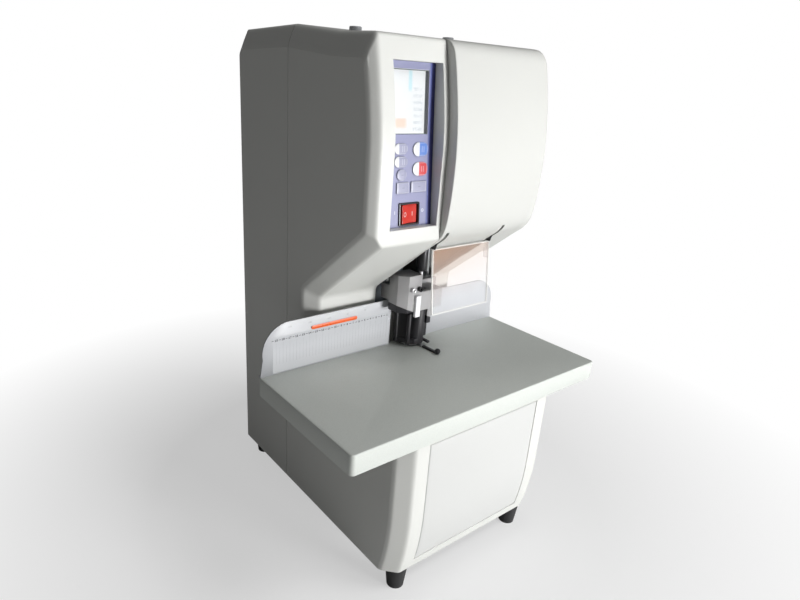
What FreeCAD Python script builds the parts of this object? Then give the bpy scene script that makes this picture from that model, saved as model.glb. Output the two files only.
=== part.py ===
"""Document riveting machine: a desk machine that drills a stack of paper and closes a plastic rivet in it.

All sizes are in millimetres. +Z is up, the operator stands on the -Y side, and the origin is the middle of
the footprint on the desk top.
"""
import FreeCAD, Part
import math
import os
from FreeCAD import Placement, Rotation, Vector

# Driving sizes of the whole machine
body_width = 273.0
machine_depth = 422.0
table_height = 252.5
table_width = 430.0
table_depth = 199.8
table_thickness = 25.7
foot_height = 32.0

# One overrun serves every cutter
overrun = 1.0
same_place = 0.0001

# Casing heights above the desk
chin_height = 438.0
throat_height = 341.0
head_height = 222.0
cheek_rise = 107.0
shoulder_rise = 2.0
rear_top_rise = 9.2
ridge_rise = 12.0
base_curve_height = 125.0

# Casing setbacks behind the front of the machine
shoulder_setback = 173.0
brow_setback = 110.0
cheek_setback = 91.5
column_setback = 213.0
base_setback = 4.0
toe_setback = 16.0
rear_cover_depth = 153.0
rear_top_chamfer = 10.0

# Casing wall and the bevels round its sides
wall = 3.0
edge_bevel = 18.0
throat_bevel = 20.0
head_bevel = 10.0
top_bevel_drop = 23.5
brow_curve_power = 1.5
curve_steps = 4

# Right head cover
cover_left = -30.0
cover_seam_setback = 151.0
cover_bulge = 14.5
cover_gap = 0.6
cover_left_round = 3.0
cover_profile_shares = [
    (0.595, 1.0), (0.716, 0.977), (0.79, 0.932), (0.872, 0.784), (0.946, 0.64), (0.989, 0.505),
    (1.0, 0.369), (0.981, 0.225), (0.946, 0.108), (0.824, 0.009), (0.595, -0.054)]
cover_chin_share = 0.05

# Tool axis, shared by the drill, the press foot and the lower die
tool_x = 30.0
tool_behind_front = 181.0

# Opening in the head's underside for the mechanism
opening_left = -25.0
opening_right = 84.0
opening_depth = 104.0
opening_sill = 44.0

# Work table
table_wall = 2.5
table_corner = 6.0
table_edge_round = 1.6
gauge_ledge = 6.0
support_width = 24.0
support_offset = 92.0
support_margin = 22.0
support_wall = 2.0

# Back gauge plates and the marker bar on the left one
gauge_thickness = 2.0
gauge_height = 70.0
gauge_end_margin = 0.5
gauge_middle_left = -5.0
gauge_middle_right = 60.0
gauge_flange = 4.0
gauge_end_lean = 3.5
gauge_end_rise = 25.0
gauge_end_run = 42.0
gauge_inner_round = 5.0
gauge_bulge_share = 0.27
marker_left = -140.0
marker_length = 74.0
marker_height = 5.0
marker_drop = 15.5
marker_thickness = 1.2

# Base plate and feet
base_plate_thickness = 3.0
base_plate_gap = 0.5
foot_spread = 220.0
foot_front_setback = 31.0
foot_rear_setback = 31.0
foot_top_radius = 14.7
foot_bottom_radius = 11.2

# Chip drawer
drawer_half_width = 97.0
drawer_gap = 1.0
drawer_bottom = 47.0
drawer_top = 221.0
drawer_bulge = 3.4
drawer_panel = 5.0
tray_half_width = 90.0
tray_depth = 128.0
tray_height = 80.0
tray_wall = 1.5
runner_width = 8.0
runner_gap = 0.3

# Control recess and panel
recess_left = -108.0
recess_width = 71.5
recess_rise = 18.0
recess_top_drop = 25.0
recess_depth = 10.6
panel_tilt = 4.5
panel_thickness = 2.0
panel_gap = 0.4
tray_floor = 2.5
board_standoff = 6.0
board_thickness = 1.6
board_margin = 4.0
standoff_radius = 2.5

# Display
lcd_left = 8.0
lcd_width = 54.0
lcd_key_gap = 9.7
lcd_top_gap = 8.0
lcd_margin = 1.5

# Keys: place of each centre from the recess's lower left corner
key_radius = 7.0
key_proud = 1.8
key_gap = 0.35
key_stem_radius = 2.0
key_travel = 0.8
key_column_left = 24.0
key_column_right = 51.4
key_row_top = 86.8
key_row_pitch = 14.0
colour_row_top = 86.3
colour_row_pitch = 22.0
rect_key_row = 43.5
rect_key_height = 11.0
rect_key_shift = 1.0
rect_key_width_left = 18.0
rect_key_width_right = 19.0

# Rocker switch
switch_centre_x = 36.4
switch_centre_up = 15.0
bezel_width = 31.0
bezel_height = 26.0
bezel_proud = 2.0
bezel_rim = 2.8
bezel_depth = 11.0
rocker_gap = 0.4
rocker_end_gap = 1.0
trunnion_radius = 1.2
trunnion_length = 1.4
rocker_valley = 1.2
rocker_angle = 10.0
rocker_depth = 4.0
rocker_pivot_depth = 2.0

# Clear guard, its arms and its pin
guard_left = -21.0
guard_width = 100.0
guard_drop = 18.0
guard_length = 84.0
guard_thickness = 3.0
guard_lean = 5.5
guard_setback = 107.0
guard_pin_setback = 101.0
guard_pin_rise = 11.0
guard_pin_radius = 2.0
arm_thickness = 2.5
arm_width = 8.0
arm_grip = 22.0
arm_slot_width = 5.0
arm_slot_front = 77.0
arm_slot_rear = 117.0
arm_slot_rise = 8.0
lug_width = 4.0
lug_inset = 5.0
lug_size = 9.0
pin_clearance = 0.05

# Cast C-frame
frame_half_width = 45.0
frame_rim = 16.0
frame_web = 24.0
frame_base_front = 151.0
frame_base_top = 80.0
frame_rear_gap = 51.0
frame_face_setback = 219.0
frame_head_room = 70.0
frame_nose_height = 394.0
frame_throat_run = 52.0
frame_throat_drop = 42.0
frame_lug_bottom = 396.0
frame_lug_height = 14.0
frame_lug_half_width = 7.0
frame_lug_reach = 18.0
frame_ear_height = 10.0
frame_ear_reach = 28.0
frame_ear_half_width = 20.0

# Anvil post, turntable and its inserts
turntable_offset = 12.0
turntable_radius = 19.0
turntable_thickness = 4.0
turntable_gap = 0.2
post_radius = 16.0
post_clearance = 1.0
pivot_radius = 3.0
running_clearance = 0.05
insert_radius = 5.0
insert_recess = 0.4
rivet_cup_radius = 2.4
rivet_cup_depth = 1.2
station_angle = 60.0
lever_width = 4.0
lever_reach = 57.0
lever_thickness = 3.0
lever_side_step = 3.0
lever_tip_radius = 4.2
die_heater_radius = 20.0
die_heater_height = 25.0
die_heater_bottom = 190.0

# Press foot, carriage and rods
foot_gap = 4.5
foot_slab = 8.0
foot_left = -28.0
foot_right = 28.0
foot_back_offset = 18.0
foot_wall = 6.0
foot_height_above_table = 59.5
foot_step_x = 14.0
foot_step_drop = 29.0
foot_nose_left = -11.0
foot_nose_right = 6.0
foot_nose_reach = 10.0
foot_waist_right = 10.0
foot_waist_offset = 8.0
foot_left_setback = 14.0
foot_cheek_width = 12.0
foot_sleeve_radius = 11.0
foot_sleeve_bore = 9.0
foot_bore_radius = 4.5
finger_x = 12.0
finger_width = 4.0
finger_reach = 24.0
finger_thickness = 3.0
guide_post_radius = 3.2
guide_post_x = -18.0
guide_post_y = 3.0
press_left = -46.0
press_right = 30.0
press_step_x = -11.0
press_front_reach = 16.0
press_back_reach = 13.0
press_tower_height = 54.0
press_saddle_height = 28.0
press_flange_height = 22.0
press_flange_lift = 12.0
press_flange_left = -44.0
press_flange_right = 44.0
press_flange_back = 33.0
press_corner_cut = 12.0
press_bore_radius = 9.0
press_arm_left = 15.5
press_arm_width = 7.5
press_arm_depth = 12.0
rod_radius = 4.5
rod_spread = 72.0
rod_y_offset = 28.0
left_rod_length = 95.0
rod_grip = 10.0
clamp_head_radius = 3.6
clamp_head_length = 5.0
clamp_socket_radius = 1.7
clamp_xs = (-28.0, -16.0)
clamp_height = 34.0
heater_ring_width = 5.0
heater_ring_height = 12.0
actuator_radius = 7.5
actuator_drop = 85.0
actuator_height = 70.0

# Drill feed carriage, spindle and drive
carriage_half_width = 27.0
carriage_rise = 22.0
carriage_height = 56.0
carriage_front_reach = 20.0
carriage_back_reach = 34.0
rail_width = 20.0
rail_depth = 12.0
rail_gap = 0.2
screw_offset = 20.0
screw_y_offset = 28.0
screw_radius = 4.0
screw_bottom = 395.0
screw_top_rise = 10.0
spindle_radius = 6.0
spindle_bore_radius = 2.2
spindle_bottom = 400.0
spindle_top_gap = 2.0
bearing_radius = 14.0
bearing_width = 8.0
bearing_race = 2.5
bearing_recess = 0.8
bore_relief = 10.0
chuck_radius = 8.0
chuck_top = 412.0
chuck_bottom = 366.0
chuck_chamfer = 2.0
shank_radius = 3.5
drill_radius = 3.0
drill_tip = 303.0
drill_edge = 0.35
pulley_gap = 4.0
pulley_height = 14.0
pulley_flange = 2.0
spindle_pulley_radius = 14.0
motor_pulley_radius = 10.0
belt_seat = 3.0
belt_thickness = 2.4
belt_gap = 0.3
belt_margin = 1.0
drive_centres = 48.0
plate_gap = 6.0
plate_thickness = 5.0
plate_front_reach = 72.0
plate_back_reach = 23.0
plate_post_radius = 3.5
plate_post_x = 22.5
plate_post_ys = (-15.0, 16.0)
drill_motor_radius = 20.0
motor_head_room = 41.0
drill_motor_cap = 12.0
motor_shaft_radius = 2.5
motor_shaft_grip = 16.0
motor_rim = 1.5
feed_motor_radius = 17.0
feed_motor_height = 52.0

# Tube inlet and lifting plug on the top
inlet_x = 44.6
plug_x = -99.0
top_fitting_setback = 185.0
inlet_radius = 7.0
inlet_proud = 7.3
inlet_bore_radius = 3.4
inlet_stem_radius = 5.0
inlet_stem_length = 9.0
fitting_gap = 0.2
fitting_round = 1.2

# Rear cover details
vent_count = 9
vent_width = 46.0
vent_height = 3.5
vent_pitch = 9.0
vent_bottom = 430.0
vent_spread = 66.0
inlet_hole_width = 27.0
inlet_hole_height = 20.0
power_inlet_x = -78.0
power_inlet_height = 72.0
power_flange = 4.0
power_flange_thickness = 2.0
power_body_depth = 24.0
power_socket_rim = 2.0
power_socket_depth = 16.0
power_pin_width = 2.0
power_pin_height = 5.0
power_pin_pitch = 7.0
power_pin_length = 13.0
screw_head_radius = 4.2
screw_head_height = 2.2
screw_shank_radius = 2.0
screw_length = 14.0
screw_slot = 1.0
screw_inset_x = 30.0
screw_height_low = 60.0
screw_height_middle = 350.0
screw_top_drop = 39.2
screw_boss_radius = 5.5
screw_head_sink = 0.2

# Power supply on the base plate
supply_left = -118.0
supply_width = 76.0
supply_rear_gap = 34.0
supply_depth = 118.0
supply_height = 54.0
supply_fin_depth = 2.0
supply_fin_width = 5.0

# Derived planes
brow_height = chin_height + head_height
cheek_height = chin_height + cheek_rise
shoulder_height = brow_height + shoulder_rise
rear_top_height = brow_height + rear_top_rise
ridge_height = brow_height + ridge_rise
recess_bottom = chin_height + recess_rise
recess_height = brow_height - recess_top_drop - recess_bottom
lcd_bottom = key_row_top + key_radius + lcd_key_gap
lcd_height = recess_height - lcd_top_gap - lcd_bottom
guard_top = chin_height - guard_drop
guard_pin_height = chin_height + guard_pin_rise
arm_slot_top = chin_height + arm_slot_rise
frame_top = brow_height - frame_head_room
actuator_bottom = frame_top - actuator_drop
screw_top = frame_top + screw_top_rise
front_y = -machine_depth / 2
rear_y = machine_depth / 2
half_width = body_width / 2
seam_y = rear_y - rear_cover_depth
shoulder_y = front_y + shoulder_setback
brow_y = front_y + brow_setback
cheek_y = front_y + cheek_setback
column_y = front_y + column_setback
base_front_y = front_y + base_setback
toe_y = front_y + toe_setback
shelf_height = table_height - table_thickness
gauge_y = front_y + table_depth
table_back_y = gauge_y + gauge_ledge
tool_y = front_y + tool_behind_front
cover_seam_y = front_y + cover_seam_setback
cover_front_y = cheek_y - cover_bulge
frame_y = front_y + frame_face_setback
floor_top = foot_height + base_plate_thickness
drawer_back_y = toe_y + drawer_panel / 2
foot_top_z = table_height + foot_height_above_table
carriage_bottom = chin_height + carriage_rise
carriage_top = carriage_bottom + carriage_height
pulley_bottom = carriage_top + pulley_gap
plate_bottom = pulley_bottom + pulley_height + plate_gap
spindle_top = plate_bottom - spindle_top_gap
throat_slope = (throat_height - chin_height) / (column_y - cheek_y)

# How deep and how wide each kind of edge is bevelled towards the machine's sides
bevels = {
    "top": (top_bevel_drop, head_bevel),
    "throat": (throat_bevel, edge_bevel),
    "column": (edge_bevel, edge_bevel),
    "base": (edge_bevel, edge_bevel),
    "rear": (edge_bevel, edge_bevel)}
open_kinds = ("floor", "seam")


# Plain solids

def box(x0, x1, y0, y1, z0, z1):
    """Block between two corners."""
    return Part.makeBox(x1 - x0, y1 - y0, z1 - z0, Vector(x0, y0, z0))


def rod(x, y, z0, z1, radius):
    """Upright cylinder."""
    return Part.makeCylinder(radius, z1 - z0, Vector(x, y, z0), Vector(0, 0, 1))


def tube(x, y, z0, z1, radius, bore):
    """Upright cylinder with a bore right through it."""
    return rod(x, y, z0, z1, radius).cut(rod(x, y, z0 - overrun, z1 + overrun, bore))


def cross_rod(x0, x1, y, z, radius):
    """Cylinder along X."""
    return Part.makeCylinder(radius, x1 - x0, Vector(x0, y, z), Vector(1, 0, 0))


def fore_rod(x, y0, y1, z, radius):
    """Cylinder along Y."""
    return Part.makeCylinder(radius, y1 - y0, Vector(x, y0, z), Vector(0, 1, 0))


def prism_x(outline, x0, x1):
    """Outline of (y, z) points drawn out along X."""
    wire = Part.makePolygon([Vector(x0, y, z) for y, z in outline + outline[:1]])
    return Part.Face(wire).extrude(Vector(x1 - x0, 0, 0))


def prism_z(outline, z0, z1):
    """Outline of (x, y) points drawn up along Z."""
    wire = Part.makePolygon([Vector(x, y, z0) for x, y in outline + outline[:1]])
    return Part.Face(wire).extrude(Vector(0, 0, z1 - z0))


def fuse(shapes):
    """One solid out of pieces that touch or overlap."""
    return shapes[0].multiFuse(shapes[1:]).removeSplitter()


def upright_edges(shape, corners):
    """Upright straight edges of a shape at the given (x, y) corners."""
    found = []
    for edge in shape.Edges:
        ends = [vertex.Point for vertex in edge.Vertexes]
        if len(ends) == 2 and ends[0].sub(ends[1]).cross(Vector(0, 0, 1)).Length < same_place:
            if any(math.hypot(ends[0].x - x, ends[0].y - y) < same_place for x, y in corners):
                found.append(edge)
    return found


def edges_at_height(shape, z):
    """Edges that lie wholly at one height."""
    return [e for e in shape.Edges if max(abs(e.BoundBox.ZMin - z), abs(e.BoundBox.ZMax - z)) < same_place]


# The casing: outlines in the side view, bevelled towards the machine's sides

def throat_z(y):
    """Height of the head's sloping underside at a depth."""
    return chin_height + throat_slope * (y - cheek_y)


def top_z(y):
    """Height of the head's top between its shoulder and its brow at a depth."""
    share = (y - shoulder_y) / (brow_y - shoulder_y)
    return shoulder_height + (brow_height - shoulder_height) * share


def front_shell_outline():
    """Side view of the C-shaped front shell, with the kind of each edge that leaves a point."""
    points = [(seam_y, ridge_height, "top"), (shoulder_y, shoulder_height, "top")]
    for step in range(curve_steps):
        share = step / curve_steps
        y = cheek_y + (brow_y - cheek_y) * (1 - share) ** brow_curve_power
        points.append((y, brow_height + (cheek_height - brow_height) * share, "head"))
    points.append((cheek_y, cheek_height, "head"))
    points.append((cheek_y, chin_height, "throat"))
    points.append((column_y, throat_height, "column"))
    points.append((column_y, shelf_height, "shelf"))
    points.append((base_front_y, shelf_height, "base"))
    for step in range(curve_steps):
        share = step / curve_steps
        y = base_front_y + (toe_y - base_front_y) * share ** 2
        points.append((y, base_curve_height + (foot_height - base_curve_height) * share, "base"))
    points.append((toe_y, foot_height, "floor"))
    points.append((seam_y, foot_height, "seam"))
    return points


def rear_cover_outline():
    """Side view of the rear cover."""
    return [
        (seam_y, ridge_height, "seam"), (seam_y, foot_height, "floor"), (rear_y, foot_height, "rear"),
        (rear_y, rear_top_height - rear_top_chamfer, "crown"),
        (rear_y - rear_top_chamfer, rear_top_height, "top")]


def head_cover_outline():
    """Side view of the right head cover, which bulges in front of the front shell."""
    depth = cover_front_y - cover_seam_y
    height = brow_height - chin_height
    points = [(cover_seam_y, top_z(cover_seam_y), "top")]
    for forward, up in cover_profile_shares:
        kind = "head" if up > cover_chin_share else "throat"
        points.append((cover_seam_y + depth * forward, chin_height + height * up, kind))
    points.append((cover_seam_y, throat_z(cover_seam_y), "seam"))
    return points


def edge_inset(kind, normal_y, normal_z, distance):
    """How far the bevels move an edge inwards at a distance from the side."""
    if kind == "head":
        depth = math.hypot(head_bevel * normal_y, top_bevel_drop * normal_z)
        return depth * max(0.0, 1 - distance / head_bevel)
    if kind == "crown":
        both = edge_inset("top", 0, 0, distance) + edge_inset("rear", 0, 0, distance)
        return both * math.sqrt(1 / 2)
    if kind not in bevels:
        return 0.0
    depth, width = bevels[kind]
    return depth * max(0.0, 1 - distance / width)


def inset_outline(outline, distance, factor, inset):
    """Section of a casing at a distance from its bevelled side.

    Each edge moves inwards by its bevel times the factor. An inset moves closed edges in further and lets
    open ones run past the casing.
    """
    count = len(outline)
    area = sum(outline[i][0] * outline[(i + 1) % count][1] - outline[(i + 1) % count][0] * outline[i][1]
               for i in range(count))
    turn = 1 if area > 0 else -1
    lines = []
    for i in range(count):
        y, z, kind = outline[i]
        next_y, next_z, _ = outline[(i + 1) % count]
        length = math.hypot(next_y - y, next_z - z)
        along_y, along_z = (next_y - y) / length, (next_z - z) / length
        normal_y, normal_z = -along_z * turn, along_y * turn
        step = factor * edge_inset(kind, normal_y, normal_z, distance)
        if inset:
            step = -overrun if kind in open_kinds else step + inset
        lines.append((y + normal_y * step, z + normal_z * step, along_y, along_z))
    section = []
    for i in range(count):
        y, z, along_y, along_z = lines[i - 1]
        next_y, next_z, turned_y, turned_z = lines[i]
        cross = along_y * turned_z - along_z * turned_y
        reach = ((next_y - y) * turned_z - (next_z - z) * turned_y) / cross
        section.append((y + along_y * reach, z + along_z * reach))
    return section


def bevelled_solid(outline, stations, inset):
    """Flat-faced solid through the outline's sections at several X stations.

    A station is its X, its distance from the bevelled side and a factor on the bevels there.
    """
    rings = []
    for x, distance, factor in stations:
        section = inset_outline(outline, distance, factor, inset)
        rings.append([Vector(x, y, z) for y, z in section])
    faces = [Part.Face(Part.makePolygon(ring + ring[:1])) for ring in (rings[0], rings[-1])]
    for ring, following in zip(rings, rings[1:]):
        for i in range(len(ring)):
            corners = [ring[i - 1], ring[i], following[i], following[i - 1]]
            faces.append(Part.Face(Part.makePolygon(corners + corners[:1])))
    solid = Part.Solid(Part.Shell(faces))
    if solid.Volume < 0:
        solid.reverse()
    return solid.removeSplitter()


def full_width_stations(half):
    """Stations of a casing that is bevelled on both sides."""
    distances = (0.0, head_bevel, edge_bevel)
    left = [(-half + distance, distance, 1.0) for distance in distances]
    right = [(half - distance, distance, 1.0) for distance in reversed(distances)]
    return left + right


def casing_shell(outline):
    """Bevelled casing hollowed to its wall, open at its seam and its floor."""
    outer = bevelled_solid(outline, full_width_stations(half_width), 0.0)
    inner = bevelled_solid(outline, full_width_stations(half_width - wall), wall)
    return outer, outer.cut(inner)


# Local frame of the control panel: X right, Y into the machine, Z up the panel

def on_panel(shape):
    """Move a shape from the panel's own frame to its place in the recess."""
    moved = shape.copy()
    tilt = Rotation(Vector(1, 0, 0), -panel_tilt)
    corner = Placement(Vector(recess_left, cheek_y + recess_depth, recess_bottom), tilt)
    moved.Placement = corner.multiply(moved.Placement)
    return moved


def panel_rod(x, z, y0, y1, radius):
    """Cylinder square to the panel, in the panel's frame."""
    return fore_rod(x, y0, y1, z, radius)


def panel_block(x, z, width, height, y0, y1):
    """Block centred on a place of the panel, in the panel's frame."""
    return box(x - width / 2, x + width / 2, y0, y1, z - height / 2, z + height / 2)


def key_places():
    """Name, centre, width and height of every key; a round key has no width."""
    places = {}
    for step, name in enumerate(("key_up", "key_down", "key_back")):
        places[name] = (key_column_left, key_row_top - key_row_pitch * step, 0, 0)
    for step, name in enumerate(("key_start", "key_stop")):
        places[name] = (key_column_right, colour_row_top - colour_row_pitch * step, 0, 0)
    places["key_set"] = (key_column_left + rect_key_shift, rect_key_row, rect_key_width_left,
                         rect_key_height)
    places["key_count"] = (key_column_right - rect_key_shift, rect_key_row, rect_key_width_right,
                           rect_key_height)
    return places


def key_body(place, grow, y0, y1):
    """Outline of a key, grown all round, between two depths of the panel's frame."""
    x, z, width, height = place
    if width == 0:
        return panel_rod(x, z, y0, y1, key_radius + grow)
    return panel_block(x, z, width + grow * 2, height + grow * 2, y0, y1)


def panel_cutouts(y0, y1):
    """Every hole that the panel and the recess floor share: window, keys and switch."""
    middle_x = lcd_left + lcd_width / 2
    middle_z = lcd_bottom + lcd_height / 2
    holes = [panel_block(middle_x, middle_z, lcd_width, lcd_height, y0, y1)]
    for place in key_places().values():
        holes.append(key_body(place, key_gap, y0, y1))
    holes.append(panel_block(switch_centre_x, switch_centre_up, bezel_width - bezel_rim,
                             bezel_height - bezel_rim, y0, y1))
    return holes


# Casing pieces

def front_shell():
    """C-shaped front shell with its control recess, mechanism opening and drawer opening."""
    outer, shell = casing_shell(front_shell_outline())
    back = panel_thickness + tray_floor
    tray = on_panel(box(-tray_floor, recess_width + tray_floor, -recess_depth * 2, back,
                        -tray_floor, recess_height + tray_floor)).common(outer)
    posts = []
    for x in (board_margin, recess_width - board_margin):
        for z in (board_margin, recess_height - board_margin):
            posts.append(on_panel(panel_rod(x, z, back - overrun, back + board_standoff, standoff_radius)))
    shell = fuse([shell, tray] + posts)
    shell = shell.cut(on_panel(box(0, recess_width, -recess_depth * 2, panel_thickness, 0, recess_height)))
    for hole in panel_cutouts(0, back + overrun):
        shell = shell.cut(on_panel(hole))
    shell = shell.cut(box(cover_left - cover_gap, half_width + overrun, front_y, cover_seam_y,
                          throat_height, ridge_height))
    shell = shell.cut(mechanism_opening())
    reach = drawer_half_width + drawer_gap
    shell = shell.cut(box(-reach, reach, front_y, toe_y + wall * 2, drawer_bottom - drawer_gap,
                          drawer_top + drawer_gap))
    post_hole = post_radius + post_clearance
    post_y = tool_y + turntable_offset
    shell = shell.cut(rod(tool_x, post_y, shelf_height - wall * 2, shelf_height + overrun, post_hole))
    for x, radius in ((inlet_x, inlet_stem_radius), (plug_x, inlet_stem_radius)):
        shell = shell.cut(rod(x, front_y + top_fitting_setback, brow_height - wall * 3, ridge_height,
                              radius + fitting_gap))
    return shell


def mechanism_opening():
    """Space cut through the head's underside and the column's face for the drill and the press."""
    rear = frame_y + overrun
    front = rear - opening_depth
    floor = table_height + opening_sill
    return box(opening_left, opening_right, front, rear, floor, chin_height + wall * 2)


def rear_cover():
    """Rear cover with its louvres, power inlet hole and screw seats."""
    outer, shell = casing_shell(rear_cover_outline())
    depth = rear_y - screw_length - wall
    bosses = [fore_rod(x, depth, rear_y - overrun, z, screw_boss_radius) for x, z in rear_screw_places()]
    shell = fuse([shell] + [boss.common(outer) for boss in bosses])
    for side in (-1, 1):
        for row in range(vent_count):
            middle = side * vent_spread / 2
            low = vent_bottom + row * vent_pitch
            shell = shell.cut(box(middle - vent_width / 2 + side * vent_height,
                                  middle + vent_width / 2 + side * vent_height,
                                  rear_y - wall * 2, rear_y + overrun, low, low + vent_height))
    shell = shell.cut(box(power_inlet_x - inlet_hole_width / 2, power_inlet_x + inlet_hole_width / 2,
                          rear_y - wall * 2, rear_y + overrun,
                          power_inlet_height - inlet_hole_height / 2,
                          power_inlet_height + inlet_hole_height / 2))
    for x, z in rear_screw_places():
        shell = shell.cut(rear_screw(x, z, 0.0))
    return shell


def rear_screw_places():
    """(x, z) of every screw that holds the rear cover."""
    heights = (screw_height_low, screw_height_middle, rear_top_height - screw_top_drop)
    return [(side * (half_width - screw_inset_x), z) for side in (-1, 1) for z in heights]


def rear_screw(x, z, slot):
    """Flush screw in the rear face, with a cross slot of the given width if it isn't zero."""
    face = rear_y - screw_head_sink if slot else rear_y + overrun
    head = fore_rod(x, rear_y - screw_head_sink - screw_head_height, face, z, screw_head_radius)
    shank = fore_rod(x, rear_y - screw_length, rear_y - screw_head_sink, z, screw_shank_radius)
    screw = head.fuse(shank)
    if slot:
        reach = screw_head_radius - slot
        for dx, dz in ((reach, slot / 2), (slot / 2, reach)):
            screw = screw.cut(box(x - dx, x + dx, face - slot, face + overrun, z - dz, z + dz))
    return screw.removeSplitter()


def rear_cover_screws():
    """All rear cover screws as separate solids."""
    return Part.makeCompound([rear_screw(x, z, screw_slot) for x, z in rear_screw_places()])


def head_cover_stations(inset):
    """Stations of the right head cover: a small round on its left, the casing's bevel on its right."""
    left = cover_left + inset
    right = half_width - inset
    small = cover_left_round / head_bevel
    distances = (0.0, head_bevel, edge_bevel)
    return ([(left, 0.0, small), (left + cover_left_round, edge_bevel, 1.0)]
            + [(right - distance, distance, 1.0) for distance in reversed(distances)])


def right_head_cover():
    """Bulging cover of the drilling head, with the slots and lugs of the clear guard."""
    outline = head_cover_outline()
    outer = bevelled_solid(outline, head_cover_stations(0.0), 0.0)
    cover = outer.cut(bevelled_solid(outline, head_cover_stations(wall), wall))
    lugs = []
    for middle in guard_lug_centres():
        lugs.append(guard_lug(middle, outer))
    cover = fuse([cover] + lugs)
    pin_y = front_y + guard_pin_setback
    cover = cover.cut(cross_rod(guard_left - overrun, guard_left + guard_width + overrun, pin_y,
                                guard_pin_height, guard_pin_radius))
    for middle in guard_arm_centres():
        cover = cover.cut(box(middle - arm_slot_width / 2, middle + arm_slot_width / 2,
                              front_y + arm_slot_front - wall * 2, front_y + arm_slot_rear,
                              guard_top - wall * 3, arm_slot_top))
    return cover.cut(mechanism_opening())


def guard_arm_centres():
    """X of the middle of both guard arms."""
    return (guard_left, guard_left + guard_width)


def guard_lug_centres():
    """X of the middle of both lugs that carry the guard's pin."""
    return (guard_left + lug_inset, guard_left + guard_width - lug_inset)


def guard_lug(middle, outer):
    """Lug that hangs from the cover's front wall and holds the guard's pin."""
    pin_y = front_y + guard_pin_setback
    block = box(middle - lug_width / 2, middle + lug_width / 2, cover_front_y, pin_y + lug_size / 2,
                guard_pin_height - lug_size / 2, guard_pin_height + lug_size)
    return block.common(outer)


def base_plate():
    """Steel floor of the base with its corners cut to the casing's bevels."""
    side = half_width - wall - base_plate_gap
    front = toe_y + wall + base_plate_gap
    rear = rear_y - wall - base_plate_gap
    cut = edge_bevel
    outline = [(-side, front + cut), (-side + cut, front), (side - cut, front), (side, front + cut),
               (side, rear - cut), (side - cut, rear), (-side + cut, rear), (-side, rear - cut)]
    return prism_z(outline, foot_height, floor_top)


def rubber_feet():
    """Four tapered rubber feet under the base plate."""
    feet = []
    for x in (-foot_spread / 2, foot_spread / 2):
        for y in (front_y + foot_front_setback, rear_y - foot_rear_setback):
            feet.append(Part.makeCone(foot_bottom_radius, foot_top_radius, foot_height, Vector(x, y, 0)))
    return Part.makeCompound(feet)


def top_fitting(x, outer, bore):
    """Round fitting that seats on the sloping top and reaches through it."""
    y = front_y + top_fitting_setback
    top = brow_height + inlet_proud + fitting_round
    flange = rod(x, y, brow_height - wall, top, inlet_radius)
    flange = flange.makeFillet(fitting_round, edges_at_height(flange, top)).cut(outer)
    stem = rod(x, y, brow_height - inlet_stem_length, top - fitting_round, inlet_stem_radius)
    fitting = fuse([flange, stem])
    if bore:
        fitting = fitting.cut(rod(x, y, brow_height - inlet_stem_length - overrun, top + overrun, bore))
    return fitting


def front_shell_outer():
    """Outer form of the front shell, used to seat the fittings on it."""
    return bevelled_solid(front_shell_outline(), full_width_stations(half_width), 0.0)


# Work table and back gauge

def table_notch():
    """Slot in the table's rear edge that clears the anvil post."""
    reach = post_radius + post_clearance
    y = tool_y + turntable_offset
    notch = rod(tool_x, y, shelf_height - overrun, table_height + overrun, reach)
    return notch.fuse(box(tool_x - reach, tool_x + reach, y, table_back_y + overrun,
                          shelf_height - overrun, table_height + overrun))


def work_table():
    """Folded steel table: top and four skirts, open below."""
    half = table_width / 2
    top = box(-half, half, front_y, table_back_y, shelf_height, table_height)
    corners = [(-half, front_y), (half, front_y), (-half, table_back_y), (half, table_back_y)]
    top = top.makeFillet(table_corner, upright_edges(top, corners))
    top = top.makeFillet(table_edge_round, edges_at_height(top, table_height))
    hollow = box(-half + table_wall, half - table_wall, front_y + table_wall, table_back_y - table_wall,
                 shelf_height - overrun, table_height - table_wall)
    inner = [(-half + table_wall, front_y + table_wall), (half - table_wall, front_y + table_wall),
             (-half + table_wall, table_back_y - table_wall), (half - table_wall, table_back_y - table_wall)]
    hollow = hollow.makeFillet(table_corner - table_wall, upright_edges(hollow, inner))
    return top.cut(hollow).cut(table_notch())


def table_supports():
    """Two channels that carry the table's top on the casing's shelf."""
    top = table_height - table_wall
    front = front_y + support_margin
    rear = gauge_y - support_margin
    channels = []
    for x in (-support_offset, support_offset):
        left = x - support_width / 2
        right = x + support_width / 2
        channel = box(left, right, front, rear, shelf_height, top)
        channels.append(channel.cut(box(left + support_wall, right - support_wall, front - overrun,
                                        rear + overrun, shelf_height - overrun, top - support_wall)))
    return Part.makeCompound(channels)


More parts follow.
